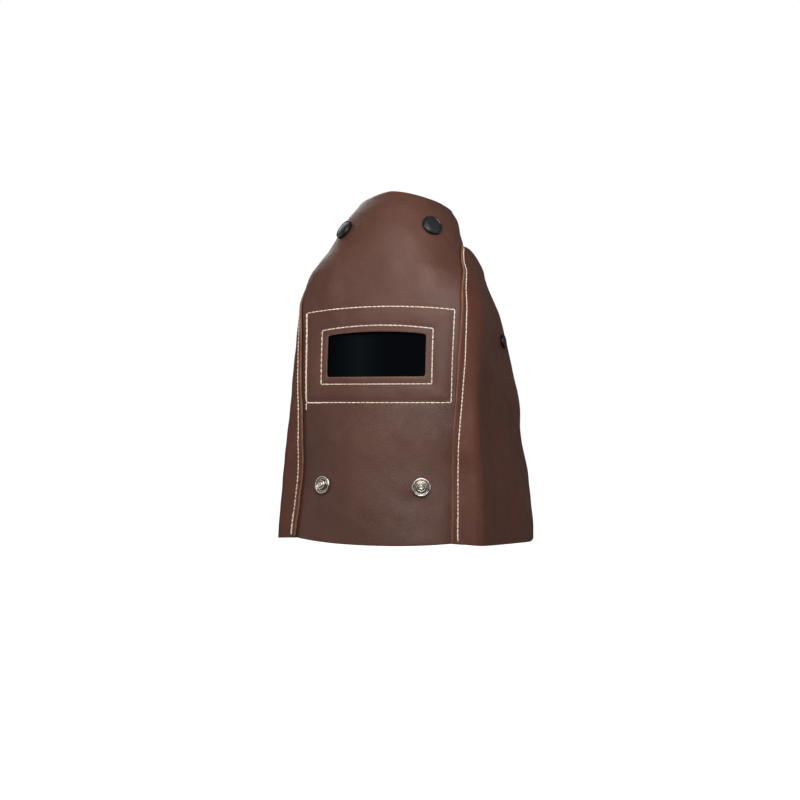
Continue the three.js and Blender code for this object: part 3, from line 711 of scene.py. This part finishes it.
# Quads between rings of points that follow one another
def ring_strips(rings, count, start=0, inwards=False):
    near = start + np.arange(rings - 1)[:, None] * count + np.arange(count)[None, :]
    after = start + np.arange(rings - 1)[:, None] * count + (np.arange(count)[None, :] + 1) % count
    quads = np.stack([near, after, after + count, near + count], axis=-1).reshape(-1, 4)
    return [quads[:, ::-1]] if inwards else [quads]


LENS_BEVEL = 0.5
LENS_CORNER = 2.0
LENS_CORNER_STEPS = 6


# Glass plate with rounded corners and ground edges
def lens(materials):
    lean, _, centre = lens_place()
    outline = []
    for quarter, (way_x, way_z) in enumerate(((1, 1), (-1, 1), (-1, -1), (1, -1))):
        for step in range(LENS_CORNER_STEPS + 1):
            angle = math.pi / 2 * (quarter + step / LENS_CORNER_STEPS)
            x = way_x * (LENS_WIDTH / 2 - LENS_CORNER) + LENS_CORNER * math.cos(angle)
            z = way_z * (LENS_HEIGHT / 2 - LENS_CORNER) + LENS_CORNER * math.sin(angle)
            outline.append((x, z))
    outline = np.array(outline)
    half = LENS_THICK / 2
    shrink = 1 - LENS_BEVEL * 2 / np.array([LENS_WIDTH, LENS_HEIGHT])
    levels = ((-half, shrink), (-half + LENS_BEVEL, 1), (half - LENS_BEVEL, 1), (half, shrink))
    rings = [np.column_stack([(outline * scale)[:, 0], np.full(len(outline), y), (outline * scale)[:, 1]])
             for y, scale in levels]
    count = len(outline)
    ends = [np.arange(count)[None, :], np.arange(3 * count, 4 * count)[None, ::-1]]
    turn = np.array(Matrix.Rotation(-lean, 3, "X"))
    points = np.concatenate(rings) @ turn.T + centre
    made = piece("lens_glass", points, ends + ring_strips(len(rings), count, inwards=True), materials)
    made.data.polygons.foreach_set("use_smooth", np.zeros(len(made.data.polygons), bool))
    return dressed(made, "dark_glass", "lens")


POCKET_STEPS_BELOW = 22
POCKET_STEPS_ABOVE = 18


# Pocket patch: lies on the back of the front panel at its border and stands clear of the lens
def lens_pocket(materials):
    _, inwards, centre = lens_place()
    up_lens = np.array([0, -inwards[2], inwards[1]])
    low = float(rise_at(0.0, POCKET_BOTTOM))
    high = float(rise_at(0.0, POCKET_TOP))
    across, rise, hole = window_grid(
        None, low, high, POCKET_STEPS_BELOW, POCKET_STEPS_ABOVE, POCKET_HALF_SHARE,
    )
    leather = offset_point(across, rise, -LEATHER - GAP)
    local = leather - centre
    wide = np.maximum(np.abs(local[..., 0]) - LENS_WIDTH / 2 - POCKET_ROOM, 0)
    tall = np.maximum(np.abs(local @ up_lens) - LENS_HEIGHT / 2 - POCKET_ROOM, 0)
    clear = LENS_THICK / 2 + GAP + POCKET_EASE - POCKET_SLOPE * np.hypot(wide, tall)
    short = clear - local @ inwards
    push = (short + np.hypot(short, POCKET_EASE)) / 2
    outer = leather + push[..., None] * inwards
    inner = outer - body_normal(across, rise) * LEATHER
    made = leather_sheet("lens_pocket_patch", outer, inner, materials, hole)
    return dressed(made, "pocket_leather", "lens_pocket")


THREAD_RADIUS = 0.56
THREAD_SIDES = 10
THREAD_STEPS = 10
THREAD_PLY = 0.17
THREAD_TWIST = 1.5
THREAD_RISE = 0.38
THREAD_DIP = 0.6
THREAD_ARCH = 0.22
THREAD_SLANT = 0.16
THREAD_SEED = 17
THREAD_TAPER = 0.2
PITCH_WANDER = 0.12


# Row of stitches along a path, each a short twisted thread with both ends sunk in the leather
def stitch_points(path, normals, pitch, shift=0.0, lateral=0.0, lift=0.0, seed=THREAD_SEED):
    draw = np.random.default_rng(seed)
    steps = np.linalg.norm(np.diff(path, axis=0), axis=1)
    along = np.concatenate([[0], np.cumsum(steps)])
    count = max(int((along[-1] - shift) / pitch), 1)
    pitch = (along[-1] - shift) / count
    shares = np.linspace(0, 1, THREAD_STEPS)[None, :]
    start = shift + pitch * np.arange(count) + STITCH_GAP / 2
    start = start + draw.uniform(-PITCH_WANDER, PITCH_WANDER, count)
    reach = pitch - STITCH_GAP + draw.uniform(-PITCH_WANDER, PITCH_WANDER, count)
    slant = draw.uniform(-THREAD_SLANT, THREAD_SLANT, count)[:, None] * (shares - 0.5)
    at = start[:, None] + reach[:, None] * shares
    centre, normal = (
        np.stack([np.interp(at, along, values[:, axis]) for axis in range(3)], axis=-1)
        for values in (path, normals)
    )
    normal = unit(normal)
    way = unit(np.gradient(centre, axis=1))
    aside = unit(np.cross(normal, way))
    arch = (np.sin(math.pi * shares) ** THREAD_ARCH)[..., None]
    centre = centre + normal * (THREAD_RISE * arch - THREAD_DIP * (1 - arch) + lift)
    centre = centre + aside * (lateral + slant)[..., None]
    angles = np.linspace(0, 2 * math.pi, THREAD_SIDES, endpoint=False)[None, None, :]
    lobes = 1 + THREAD_PLY * np.cos(2 * angles + 2 * math.pi * THREAD_TWIST * shares[..., None])
    radius = THREAD_RADIUS * (1 - THREAD_TAPER + THREAD_TAPER * arch) * lobes
    rings = aside[:, :, None, :] * (np.cos(angles) * radius)[..., None]
    rings = centre[:, :, None, :] + rings + normal[:, :, None, :] * (np.sin(angles) * radius)[..., None]
    return rings.reshape(-1, 3)


def stitch_piece(name, rows, material, slot):
    points = np.concatenate(rows)
    per_stitch = THREAD_SIDES * THREAD_STEPS
    count = len(points) // per_stitch
    starts = np.arange(count)[:, None, None] * per_stitch
    strip = ring_strips(THREAD_STEPS, THREAD_SIDES)[0]
    ends = np.arange(THREAD_SIDES)
    groups = [
        (starts + strip[None]).reshape(-1, 4),
        (starts[:, 0] + ends[::-1]),
        (starts[:, 0] + per_stitch - THREAD_SIDES + ends),
    ]
    shades = np.repeat(np.random.default_rng(THREAD_SEED).uniform(0, 1, count), per_stitch)
    return dressed(piece(name, points, groups, [material], numbers={"shade": shades}), slot)


WINDOW_PITCH = 4.7
SEAM_PITCH = 3.8
STITCH_GAP = 0.1
ROW_OVERRUN = 7.5
ROW_SAMPLES = 160
SEAM_ROW_START = 0.006
SEAM_ROW_STOP = 0.004
LOCKED_REACH = 22
LOCKED_RISE = 0.07

# Second stitches over the first ones: start along the path, way aside and lift, in millimetres
DOUBLED = {"shift": WINDOW_PITCH / 2, "lateral": 0.45, "lift": 0.25}
CORNER_LOCK = {"shift": 1.5, "lateral": 0.4, "lift": 0.25}
SEAM_LOCK = {"shift": 2, "lateral": 0.4, "lift": 0.25}


def front_surface(x, z):
    across, rise = front_place(x, z)
    body = body_point(across, rise)
    normal = body_normal(across, rise)
    return body + normal * front_relief(body)[..., None], normal


# The four sides of a stitched row round the window, from the lower left corner clockwise
def window_row(row):
    share = np.linspace(0, 1, ROW_SAMPLES)
    left_x = -row["half_low"] - (row["half_high"] - row["half_low"]) * share
    left_z = row["low"] + (row["high"] - row["low"]) * share
    top_x = row["half_high"] * (2 * share - 1)
    top_z = row["high"] + row["arch"] * (1 - (2 * share - 1) ** 2)
    low_x = row["half_low"] * (1 - 2 * share)
    low_z = row["low"] + 0 * share
    sides = ((left_x, left_z), (top_x, top_z), (-left_x[::-1], left_z[::-1]), (low_x, low_z))
    return [front_surface(x, z) for x, z in sides]


def window_stitches(material):
    for name, row in (("window_stitches_inner", INNER_ROW), ("window_stitches_outer", OUTER_ROW)):
        sides = window_row(row)
        rows = [stitch_points(*side, WINDOW_PITCH, seed=turn) for turn, side in enumerate(sides)]
        if row is OUTER_ROW:
            rows += locked_ends(sides[0], sides[3])
        stitch_piece(name, rows, material, "front_leather")


# Start of the outer row: stitches doubled up the left side and a short way along the bottom,
# with a tail that overruns the corner
def locked_ends(left, low):
    z = np.linspace(OUTER_ROW["low"] - ROW_OVERRUN, OUTER_ROW["low"], ROW_SAMPLES // 4)
    tail = front_surface(-OUTER_ROW["half_low"] + 0 * z, z)
    doubled = stitch_points(*left, WINDOW_PITCH, **DOUBLED)
    keep = low[0][:, 0] < -OUTER_ROW["half_low"] + LOCKED_REACH
    start = stitch_points(low[0][keep], low[1][keep], WINDOW_PITCH, **CORNER_LOCK)
    return [stitch_points(*tail, ROW_OVERRUN / 2), doubled, start]


def seam_stitches(name, sign, material):
    rise = np.linspace(SEAM_ROW_START, SEAM_TOP - SEAM_ROW_STOP, ROW_SAMPLES * 2)
    across = 1 + SEAM_ROW_SHARE * lap_share(rise)
    offset = GAP + margin_thickness(across, rise, sign) + lip_lift(across, rise, sign)
    path = offset_point(sign * across, rise, offset + seam_groove(across, rise))
    normals = body_normal(sign * across, rise)
    rows = [stitch_points(path, normals, SEAM_PITCH, seed=THREAD_SEED + sign)]
    low = rise < LOCKED_RISE
    rows.append(stitch_points(path[low], normals[low], SEAM_PITCH, **SEAM_LOCK))
    return stitch_piece(name, rows, material, "side_leather")


TURN_STEPS = 64
# Painted shade with tarnish in the grooves of the turned fasteners: how dark, and the shares of radius and
# height within which it lies
GROOVE_SHADE_AND_TARNISH = 0.55
SHADE_AND_TARNISH_WITHIN = 0.82
SHADE_AND_TARNISH_BELOW = 0.56

# Outlines of the turned fasteners: shares of their radius and height, from the leather outwards
CAP_PROFILE = (
    (0.95, 0.00), (0.985, 0.05), (1.00, 0.18), (1.00, 0.52), (0.99, 0.66), (0.965, 0.75), (0.93, 0.78),
    (0.895, 0.75), (0.875, 0.68), (0.86, 0.62), (0.84, 0.61), (0.80, 0.66), (0.72, 0.75), (0.60, 0.86),
    (0.46, 0.94), (0.30, 0.985), (0.15, 1.00),
)
CAP_DOME_FROM = 9
STUD_PROFILE = (
    (0.955, 0.00), (0.99, 0.07), (1.00, 0.17), (0.985, 0.27), (0.95, 0.345), (0.90, 0.385), (0.85, 0.38),
    (0.815, 0.34), (0.79, 0.26), (0.755, 0.205), (0.68, 0.19), (0.60, 0.20), (0.565, 0.25), (0.545, 0.40),
    (0.535, 0.60), (0.515, 0.74), (0.475, 0.82), (0.43, 0.84), (0.395, 0.80), (0.375, 0.70), (0.355, 0.58),
    (0.33, 0.535), (0.30, 0.55), (0.285, 0.65), (0.275, 0.85), (0.25, 0.96), (0.20, 0.99), (0.14, 0.97),
    (0.11, 0.90), (0.085, 0.72), (0.05, 0.66),
)


# Turned body: cap or stud outside, a post through the layers and a washer inside
def turned_fastener(name, size, stack, seat, profile, materials, dome_from=0):
    radius, height = size["radius"], size["height"]
    washer_top = -stack - WASHER_SEAT
    washer_low = washer_top - WASHER_THICK
    outline = [
        (0.0, washer_low), (0.35 * WASHER_RADIUS, washer_low), (WASHER_RADIUS - WASHER_BEVEL, washer_low),
        (WASHER_RADIUS, washer_low + WASHER_BEVEL), (WASHER_RADIUS, washer_top - WASHER_ROUNDING),
        (WASHER_RADIUS - WASHER_ROUNDING, washer_top),
        (POST_RADIUS, washer_top), (POST_RADIUS, GAP * 0.5), (0.90 * radius, GAP * 0.5),
    ]
    outline += [(out * radius, GAP + up * height) for out, up in profile]
    outline.append((0.0, GAP + profile[-1][1] * height))
    foot, axis = seat
    turn = np.array(Vector((0, 0, 1)).rotation_difference(Vector(axis)).to_matrix())
    angles = np.linspace(0, 2 * math.pi, TURN_STEPS, endpoint=False)
    rings = np.array([
        [(out * math.cos(a), out * math.sin(a), up) for a in angles] for out, up in outline[1:-1]
    ])
    low_end = [(0.0, 0.0, outline[0][1])]
    top_end = [(0.0, 0.0, outline[-1][1])]
    points = np.concatenate([low_end, rings.reshape(-1, 3), top_end])
    side = np.arange(TURN_STEPS)
    after = (side + 1) % TURN_STEPS
    top = 1 + (len(rings) - 1) * TURN_STEPS
    low_fan = np.stack([0 * side, 1 + after, 1 + side], axis=1)
    top_fan = np.stack([top + side, top + after, 0 * side + len(points) - 1], axis=1)
    strips = ring_strips(len(rings), TURN_STEPS, start=1)
    face_slots = np.zeros(2 * TURN_STEPS + len(strips[0]), int)
    if dome_from:
        dome_ring = len(rings) - len(profile) + dome_from
        face_slots[2 * TURN_STEPS + dome_ring * TURN_STEPS:] = 1
        face_slots[TURN_STEPS:2 * TURN_STEPS] = 1
    # Painted shade with tarnish: low inner rings of the profile and the centre of the top are marked darker
    groove_shade_and_tarnish_rings = [GROOVE_SHADE_AND_TARNISH if out < SHADE_AND_TARNISH_WITHIN and up < SHADE_AND_TARNISH_BELOW else 0 for out, up in profile]
    no_groove_shade = np.zeros(len(points) - 1 - len(profile) * TURN_STEPS)
    groove_shade_and_tarnish = np.concatenate([no_groove_shade, np.repeat(groove_shade_and_tarnish_rings, TURN_STEPS), [1]])
    groups = [low_fan, top_fan] + strips
    return piece(name, points @ turn.T + foot, groups, materials, face_slots, {"groove_shade_and_tarnish": groove_shade_and_tarnish})


# Foot and direction of a fastener that stands on the front
def front_seat(place, sign):
    across, rise = front_place(sign * place["wide"], place["up"])
    return body_point(across, rise), body_normal(across, rise)


def side_snap_across():
    return 2 - SIDE_SNAP["from_back"] / side_length(rise_at(2.0, SIDE_SNAP["up"]))


def side_seat(sign):
    across = side_snap_across()
    rise = rise_at(across, SIDE_SNAP["up"])
    return offset_point(sign * across, rise, GAP + LEATHER), body_normal(sign * across, rise)


def fasteners(black, dome, nickel):
    strapped = LEATHER + GAP + STRAP_SEAT + STRAP_THICK
    # Caps take the black enamel on the rim and the lighter dome enamel, whose grey is painted reflection
    cap = {"profile": CAP_PROFILE, "materials": [black, dome], "dome_from": CAP_DOME_FROM}
    stud = {"profile": STUD_PROFILE, "materials": [nickel]}
    for side, sign in SIDES:
        crown, bib = (front_seat(place, sign) for place in (CROWN_SNAP, BIB_STUD))
        for name, node, slot, size, stack, seat, look in (
            ("crown_snap_cap_", "crown_snap_", "black_snap", CROWN_SNAP, LEATHER, crown, cap),
            ("side_snap_cap_", "side_snap_", "black_snap", SIDE_SNAP, strapped, side_seat(sign), cap),
            ("bib_snap_stud_", "bib_stud_", "nickel_stud", BIB_STUD, LEATHER, bib, stud),
        ):
            made = turned_fastener(name + side, size, stack, seat, **look)
            dressed(made, slot, node + side)


STRAP_SEATED_STEPS = 16
STRAP_FREE_STEPS = 72
STRAP_LEVELS = 24
STRAP_RIB = 0.10
STRAP_RIBS = 9
STRAP_EDGE_POWER = 12
STRAP_EDGE_KEPT = 0.995


# Lengthwise lines of the strap on one side: seated inside the side panel, then free round the head
def strap_lines(levels, sign):
    slope = math.radians(STRAP_SLOPE)
    snap_across = side_snap_across()
    length = side_length(rise_at(snap_across, SIDE_SNAP["up"]))
    levels = levels[:, None]

    def seated(along):
        up = SIDE_SNAP["up"] + levels * math.cos(slope) - along * math.sin(slope)
        shift = along * math.cos(slope) + levels * math.sin(slope)
        across = sign * (snap_across + shift / length)
        return offset_point(across, rise_at(across, up), -STRAP_SEAT)

    reach = SIDE_SNAP["from_back"]
    line = seated(-STRAP_END + (STRAP_END + reach) * np.linspace(0, 1, STRAP_SEATED_STEPS + 1)[None, :])
    leave = line[:, -1:]
    heading = unit(leave - seated(np.array([[reach - 1.0]])))
    run = (STRAP_BACK - leave[..., 1])[..., None]
    fall = (STRAP_BACK - side_seat(sign)[0][1]) * math.tan(slope)
    rear = np.stack([
        0 * levels, STRAP_BACK + levels * math.sin(slope), SIDE_SNAP["up"] - fall + levels * math.cos(slope),
    ], axis=-1)
    bend = leave + heading * run * STRAP_PULL
    rear_bend = np.concatenate([leave[..., :1] * STRAP_PULL, rear[..., 1:]], axis=-1)
    share = stepped(0, 1, STRAP_FREE_STEPS)[None, :, None]
    back = 1 - share
    free = back ** 3 * leave + 3 * back ** 2 * share * bend
    free = free + 3 * back * share ** 2 * rear_bend + share ** 3 * rear
    return np.concatenate([line, free], axis=1)


# Woven elastic band with soft lengthwise ribs and rounded edges
def head_strap(material):
    levels = np.linspace(-1, 1, STRAP_LEVELS + 1)
    left, right = (strap_lines(levels * STRAP_WIDTH / 2, sign) for sign in (1, -1))
    outer = np.concatenate([right[:, :-1], left[:, ::-1]], axis=1)
    sideways = np.gradient(outer, axis=1)
    upwards = np.gradient(outer, axis=0)
    inwards = unit(np.cross(sideways, upwards))
    ribs = STRAP_RIB * np.cos(levels * math.pi * STRAP_RIBS)[:, None]
    rounding = np.sqrt(1 - (np.abs(levels) * STRAP_EDGE_KEPT) ** STRAP_EDGE_POWER)
    slim = 0.5 * STRAP_THICK * (1 - rounding)[:, None]
    face = outer + inwards * (slim + STRAP_RIB - ribs)[..., None]
    back = outer + inwards * (STRAP_THICK - slim - STRAP_RIB + ribs)[..., None]
    rows, places = face.shape[:2]
    count = rows * places
    quads = grid_quads(rows, places)
    index = np.array([row * places + place for row, place in border(0, rows - 1, 0, places - 1)])
    after = np.roll(index, -1)
    faces = [quads[:, ::-1], count + quads, np.stack([index, after, count + after, count + index], axis=1)]
    lengths = np.linalg.norm(np.diff(outer, axis=1), axis=-1)
    along = np.concatenate([np.zeros((rows, 1)), np.cumsum(lengths, axis=1)], axis=1)
    across = levels[:, None] * STRAP_WIDTH / 2 + 0 * along
    numbers = {"along": np.tile(along.ravel(), 2), "across": np.tile(across.ravel(), 2)}
    points = np.concatenate([face.reshape(-1, 3), back.reshape(-1, 3)])
    made = piece("head_strap_band", points, faces, [material], numbers=numbers)
    print("strap length in mm", round(float(along[rows // 2, -1]), 1))
    return dressed(made, "white_elastic", "head_strap")


# Small node tree writer: adds a node, sets its plain values and joins its inputs
class Tree:
    def __init__(self, name):
        self.material = bpy.data.materials.new(name)
        self.material.use_nodes = True
        self.nodes = self.material.node_tree.nodes
        self.links = self.material.node_tree.links
        self.nodes.clear()

    # Joins a socket to another one, or gives it a plain value
    def feed(self, socket, value):
        if isinstance(value, bpy.types.NodeSocket):
            self.links.new(value, socket)
        else:
            socket.default_value = value

    def add(self, kind, values=None, **settings):
        node = self.nodes.new("ShaderNode" + kind)
        for name, value in settings.items():
            setattr(node, name, value)
        for name, value in (values or {}).items():
            self.feed(node.inputs[name], value)
        return node

    def place(self):
        return self.add("TexCoord").outputs["Object"]

    def noise(self, scale, detail=4.0, roughness=0.55, distortion=0.0):
        values = {"Vector": self.place(), "Scale": scale, "Detail": detail,
                  "Roughness": roughness, "Distortion": distortion}
        return self.add("TexNoise", values).outputs["Fac"]

    def cells(self, scale):
        values = {"Vector": self.place(), "Scale": scale}
        return self.add("TexVoronoi", values, feature="DISTANCE_TO_EDGE").outputs["Distance"]

    def number(self, name):
        return self.add("Attribute", attribute_name=name).outputs["Fac"]

    def math(self, operation, first, second=0.5):
        node = self.add("Math", operation=operation)
        for socket, value in zip(node.inputs, (first, second)):
            self.feed(socket, value)
        return node.outputs[0]

    def ranged(self, value, low, high, to_low, to_high):
        values = {"Value": value, "From Min": low, "From Max": high, "To Min": to_low, "To Max": to_high}
        return self.add("MapRange", values).outputs["Result"]

    def blend(self, share, first, second):
        node = self.add("Mix", data_type="RGBA")
        for name, value in (("Factor", share), ("A", first), ("B", second)):
            self.feed([s for s in node.inputs if s.name == name and s.enabled][0], value)
        return [s for s in node.outputs if s.enabled][0]

    # Lays one shade over another where a value passes from low to high
    def over(self, under, upper, value, low, high, most=1):
        return self.blend(self.ranged(value, low, high, 0, most), under, upper)

    def bump(self, height, strength, distance, normal=None):
        values = {"Height": height, "Strength": strength, "Distance": distance}
        if normal is not None:
            values["Normal"] = normal
        return self.add("Bump", values).outputs["Normal"]

    def finish(self, **values):
        shader = self.add("BsdfPrincipled")
        for name, value in values.items():
            self.feed(shader.inputs[name.replace("_", " ")], value)
        output = self.add("OutputMaterial")
        self.links.new(shader.outputs["BSDF"], output.inputs["Surface"])
        return self.material


# Plain colour from eight-bit screen values
def colour(*screen):
    return tuple(((c / 255 + 0.055) / 1.055) ** 2.4 if c > 10 else c / 255 / 12.92 for c in screen) + (1.0,)


# Grain leather: waxed brown hide with faint clouds, fine pebbled grain, pores and worn edges
def grain_leather(name, dark, mid, light, worn, shine):
    tree = Tree(name)
    clouds = tree.noise(11, 4, 0.6)
    shade = tree.over(dark, mid, clouds, 0.35, 0.65)
    pull_up = tree.noise(34, 5, 0.65, distortion=0.6)
    shade = tree.over(shade, light, pull_up, 0.54, 0.78, 0.5)
    pebbles = tree.cells(820)
    creases = tree.ranged(pebbles, 0.0, 0.16, 1, 0)
    shade = tree.blend(tree.math("MULTIPLY", creases, 0.28), shade, dark)
    specks = tree.noise(700, 3, 0.7)
    shade = tree.over(shade, light, specks, 0.55, 0.8, 0.35)
    wear = tree.number("wear")
    uneven = tree.ranged(tree.noise(220, 3), 0.3, 0.7, 0.1, 0.6)
    rubbed = tree.math("MULTIPLY", tree.ranged(wear, 0.45, 1.0, 0, 1), uneven)
    shade = tree.blend(rubbed, shade, worn)
    gloss = tree.ranged(tree.noise(60, 4, 0.6), 0.3, 0.7, 0.46, 0.58)
    pores = tree.noise(2400, 2, 0.5)
    wrinkles = tree.noise(120, 4, 0.6, distortion=0.8)
    normal = tree.bump(wrinkles, 0.16, 0.0009)
    normal = tree.bump(tree.ranged(pebbles, 0.0, 0.24, 0, 1), 0.45, 0.0002, normal)
    normal = tree.bump(pores, 0.25, 0.0001, normal)
    return tree.finish(Base_Color=shade, Roughness=gloss, Normal=normal, Specular_IOR_Level=shine)


# Cut edge of the hide: tan fibres in fine layers
def raw_edge(name, dark, pale, stained):
    tree = Tree(name)
    fibres = tree.noise(900, 5, 0.7)
    patches = tree.noise(60, 3, 0.6)
    shade = tree.over(dark, pale, fibres, 0.3, 0.7)
    shade = tree.over(shade, stained, patches, 0.4, 0.7, 0.6)
    normal = tree.bump(fibres, 0.6, 0.0004)
    return tree.finish(Base_Color=shade, Roughness=0.85, Normal=normal, Specular_IOR_Level=0.25)


# Flesh side of the hide: matt, napped and a little uneven
def suede(name, base, pale):
    tree = Tree(name)
    nap = tree.noise(420, 6, 0.75, distortion=0.4)
    patches = tree.noise(30, 4, 0.6)
    shade = tree.over(base, pale, nap, 0.3, 0.7)
    shade = tree.over(shade, base, patches, 0.4, 0.7, 0.4)
    normal = tree.bump(nap, 0.7, 0.0006)
    normal = tree.bump(tree.noise(2200, 3, 0.6), 0.5, 0.0002, normal)
    return tree.finish(
        Base_Color=shade, Roughness=0.95, Normal=normal, Specular_IOR_Level=0.15,
        Sheen_Weight=0.3, Sheen_Roughness=0.6,
    )


def thread():
    tree = Tree("cream_thread")
    shade = tree.blend(tree.number("shade"), colour(236, 208, 184), colour(255, 244, 228))
    fuzz = tree.noise(1800, 4, 0.7)
    shade = tree.over(shade, colour(170, 132, 104), fuzz, 0.55, 0.85, 0.3)
    return tree.finish(
        Base_Color=shade, Roughness=0.7, Normal=tree.bump(fuzz, 0.5, 0.0003), Specular_IOR_Level=0.3,
        Sheen_Weight=0.2, Sheen_Roughness=0.5,
    )


# Enamelled metal, a little scuffed
def enamel(name, base, scuffed, smoothest, roughest):
    tree = Tree(name)
    scuffs = tree.noise(420, 5, 0.65)
    shade = tree.over(base, scuffed, scuffs, 0.5, 0.8)
    gloss = tree.ranged(tree.noise(160, 4), 0.3, 0.7, smoothest, roughest)
    return tree.finish(
        Base_Color=shade, Roughness=gloss, Normal=tree.bump(scuffs, 0.12, 0.0001), Specular_IOR_Level=0.6,
    )


def nickel():
    tree = Tree("nickel_plate")
    tarnish = tree.noise(260, 5, 0.65)
    shade = tree.over(colour(226, 219, 208), colour(138, 128, 114), tarnish, 0.45, 0.75)
    # Painted shade with tarnish: the plate is darkened in its grooves and at the top centre
    shade = tree.blend(tree.number("groove_shade_and_tarnish"), shade, colour(62, 54, 46))
    gloss = tree.ranged(tree.noise(500, 4), 0.3, 0.7, 0.2, 0.34)
    return tree.finish(
        Base_Color=shade, Metallic=1.0, Roughness=gloss, Normal=tree.bump(tarnish, 0.08, 0.0001),
    )


# Place and half width across the glass of the painted reflection band, in metres
REFLECTION_BAND_MIDDLE = -0.018
REFLECTION_BAND_REACH = 0.026


# Nearly black welding glass with faint random smears, and a painted reflection: a lighter upright band left
# of its middle
def dark_glass():
    tree = Tree("welding_glass")
    across = tree.add("SeparateXYZ", {"Vector": tree.place()}).outputs["X"]
    away = tree.math("ABSOLUTE", tree.math("SUBTRACT", across, REFLECTION_BAND_MIDDLE))
    band = tree.ranged(away, 0.0, REFLECTION_BAND_REACH, 1, 0)
    smears = tree.noise(40, 5, 0.6, distortion=0.7)
    shade = tree.over(colour(1, 3, 6), colour(2, 5, 8), smears, 0.4, 0.7)
    # Painted reflection: a lighter colour laid along an upright band of the glass
    shade = tree.blend(tree.math("MULTIPLY", band, 0.8), shade, colour(13, 18, 20))
    gloss = tree.ranged(smears, 0.3, 0.7, 0.05, 0.12)
    return tree.finish(Base_Color=shade, Roughness=gloss, Specular_IOR_Level=0.16)


PICK_LENGTH = 0.9
RIB_LENGTH = 1.1


# Elastic webbing: picks across the band and rubber-cored ribs along it
def elastic():
    tree = Tree("woven_elastic")
    picks = tree.math("SINE", tree.math("MULTIPLY", tree.number("along"), 2 * math.pi / PICK_LENGTH))
    ribs = tree.math("SINE", tree.math("MULTIPLY", tree.number("across"), 2 * math.pi / RIB_LENGTH))
    weave = tree.math("MULTIPLY", picks, ribs)
    height = tree.math("ADD", tree.math("MULTIPLY", weave, 0.5), tree.math("MULTIPLY", ribs, 0.35))
    grime = tree.noise(45, 4, 0.6)
    shade = tree.over(colour(150, 147, 143), colour(190, 187, 182), weave, -1, 1)
    shade = tree.over(shade, colour(138, 132, 122), grime, 0.5, 0.8, 0.35)
    return tree.finish(
        Base_Color=shade, Roughness=0.85, Normal=tree.bump(height, 0.7, 0.0003), Specular_IOR_Level=0.25,
        Sheen_Weight=0.2, Sheen_Roughness=0.5,
    )


def camera():
    made = bpy.data.objects.new("camera", bpy.data.cameras.new("camera"))
    made.data.lens = CAMERA_LENS
    made.data.sensor_width = CAMERA_SENSOR
    made.location = CAMERA_PLACE
    made.rotation_euler = (math.radians(90), 0, math.radians(CAMERA_TURN))
    bpy.context.scene.collection.objects.link(made)
    bpy.context.scene.camera = made


# Soft box that looks at a point of the hood
def soft_light(name, place, aim, size, power):
    data = bpy.data.lights.new(name, "AREA")
    data.shape = "RECTANGLE"
    data.size, data.size_y = size
    data.energy = power
    made = bpy.data.objects.new(name, data)
    made.location = place
    made.rotation_euler = (Vector(aim) - Vector(place)).to_track_quat("-Z", "Y").to_euler()
    made.visible_camera = False
    bpy.context.scene.collection.objects.link(made)


# Pale surround that the camera sees, with a dim one for everything else
def surround():
    world = bpy.data.worlds.new("studio")
    bpy.context.scene.world = world
    world.use_nodes = True
    nodes = world.node_tree.nodes
    links = world.node_tree.links
    nodes.clear()
    path = nodes.new("ShaderNodeLightPath")
    mix = nodes.new("ShaderNodeMixShader")
    output = nodes.new("ShaderNodeOutputWorld")
    links.new(path.outputs["Is Camera Ray"], mix.inputs["Fac"])
    for place, strength in ((1, SURROUND_LIGHT), (2, 1.0)):
        background = nodes.new("ShaderNodeBackground")
        background.inputs["Strength"].default_value = strength
        background.inputs["Color"].default_value = (1, 1, 1, 1)
        links.new(background.outputs[0], mix.inputs[place])
    links.new(mix.outputs[0], output.inputs["Surface"])
    bpy.context.scene.view_settings.view_transform = "Standard"


def studio():
    surround()
    for light in LIGHTS:
        soft_light(*light)


# Pale paper floor, lit evenly so that it runs into the surround
def floor():
    tree = Tree("floor_paper")
    half = FLOOR_SIZE / 2 / MM
    level = FLOOR_HEIGHT / MM
    corners = [(-half, -half, level), (half, -half, level), (half, half, level), (-half, half, level)]
    paper = tree.finish(
        Base_Color=colour(235, 235, 234), Roughness=0.9, Specular_IOR_Level=0.0,
        Emission_Color=(1, 1, 1, 1), Emission_Strength=FLOOR_GLOW,
    )
    made = piece("floor", corners, [[(0, 1, 2, 3)]], [paper])
    made.visible_diffuse = False
    made.visible_glossy = False


camera()
studio()
floor()

suede_brown = suede("suede_back", colour(104, 68, 50), colour(138, 98, 74))
cut_edge = raw_edge("raw_edge", colour(112, 74, 56), colour(172, 128, 100), colour(92, 58, 44))
window_edge = raw_edge("window_cut_edge", colour(92, 66, 56), colour(142, 112, 98), colour(80, 56, 48))
front_grain = grain_leather(
    "front_grain", colour(84, 51, 40), colour(95, 60, 47), colour(110, 74, 60), colour(128, 90, 72), 0.45,
)
side_grain = grain_leather(
    "side_grain", colour(90, 50, 36), colour(103, 60, 44), colour(118, 74, 57), colour(132, 92, 74), 0.34,
)
pocket_suede = suede("pocket_split", colour(112, 78, 60), colour(142, 106, 84))

cream = thread()
black = enamel("black_enamel", colour(12, 13, 14), colour(28, 30, 31), 0.26, 0.38)
# Lighter grey copy of the black enamel for the snap domes: painted reflection of broad soft light on the
# dome
dome_reflection_enamel = enamel("dome_enamel_painted_reflection", colour(28, 32, 33), colour(38, 42, 42), 0.34, 0.46)
front_panel([front_grain, window_edge, suede_brown])
for side, sign in SIDES:
    side_panel("side_leather_" + side, sign, "side_panel_" + side, [side_grain, cut_edge, suede_brown])
lens([dark_glass()])
lens_pocket([pocket_suede, cut_edge, pocket_suede])
fasteners(black, dome_reflection_enamel, nickel())
head_strap(elastic())
window_stitches(cream)
for side, sign in SIDES:
    seam_stitches("seam_stitches_" + side, sign, cream)
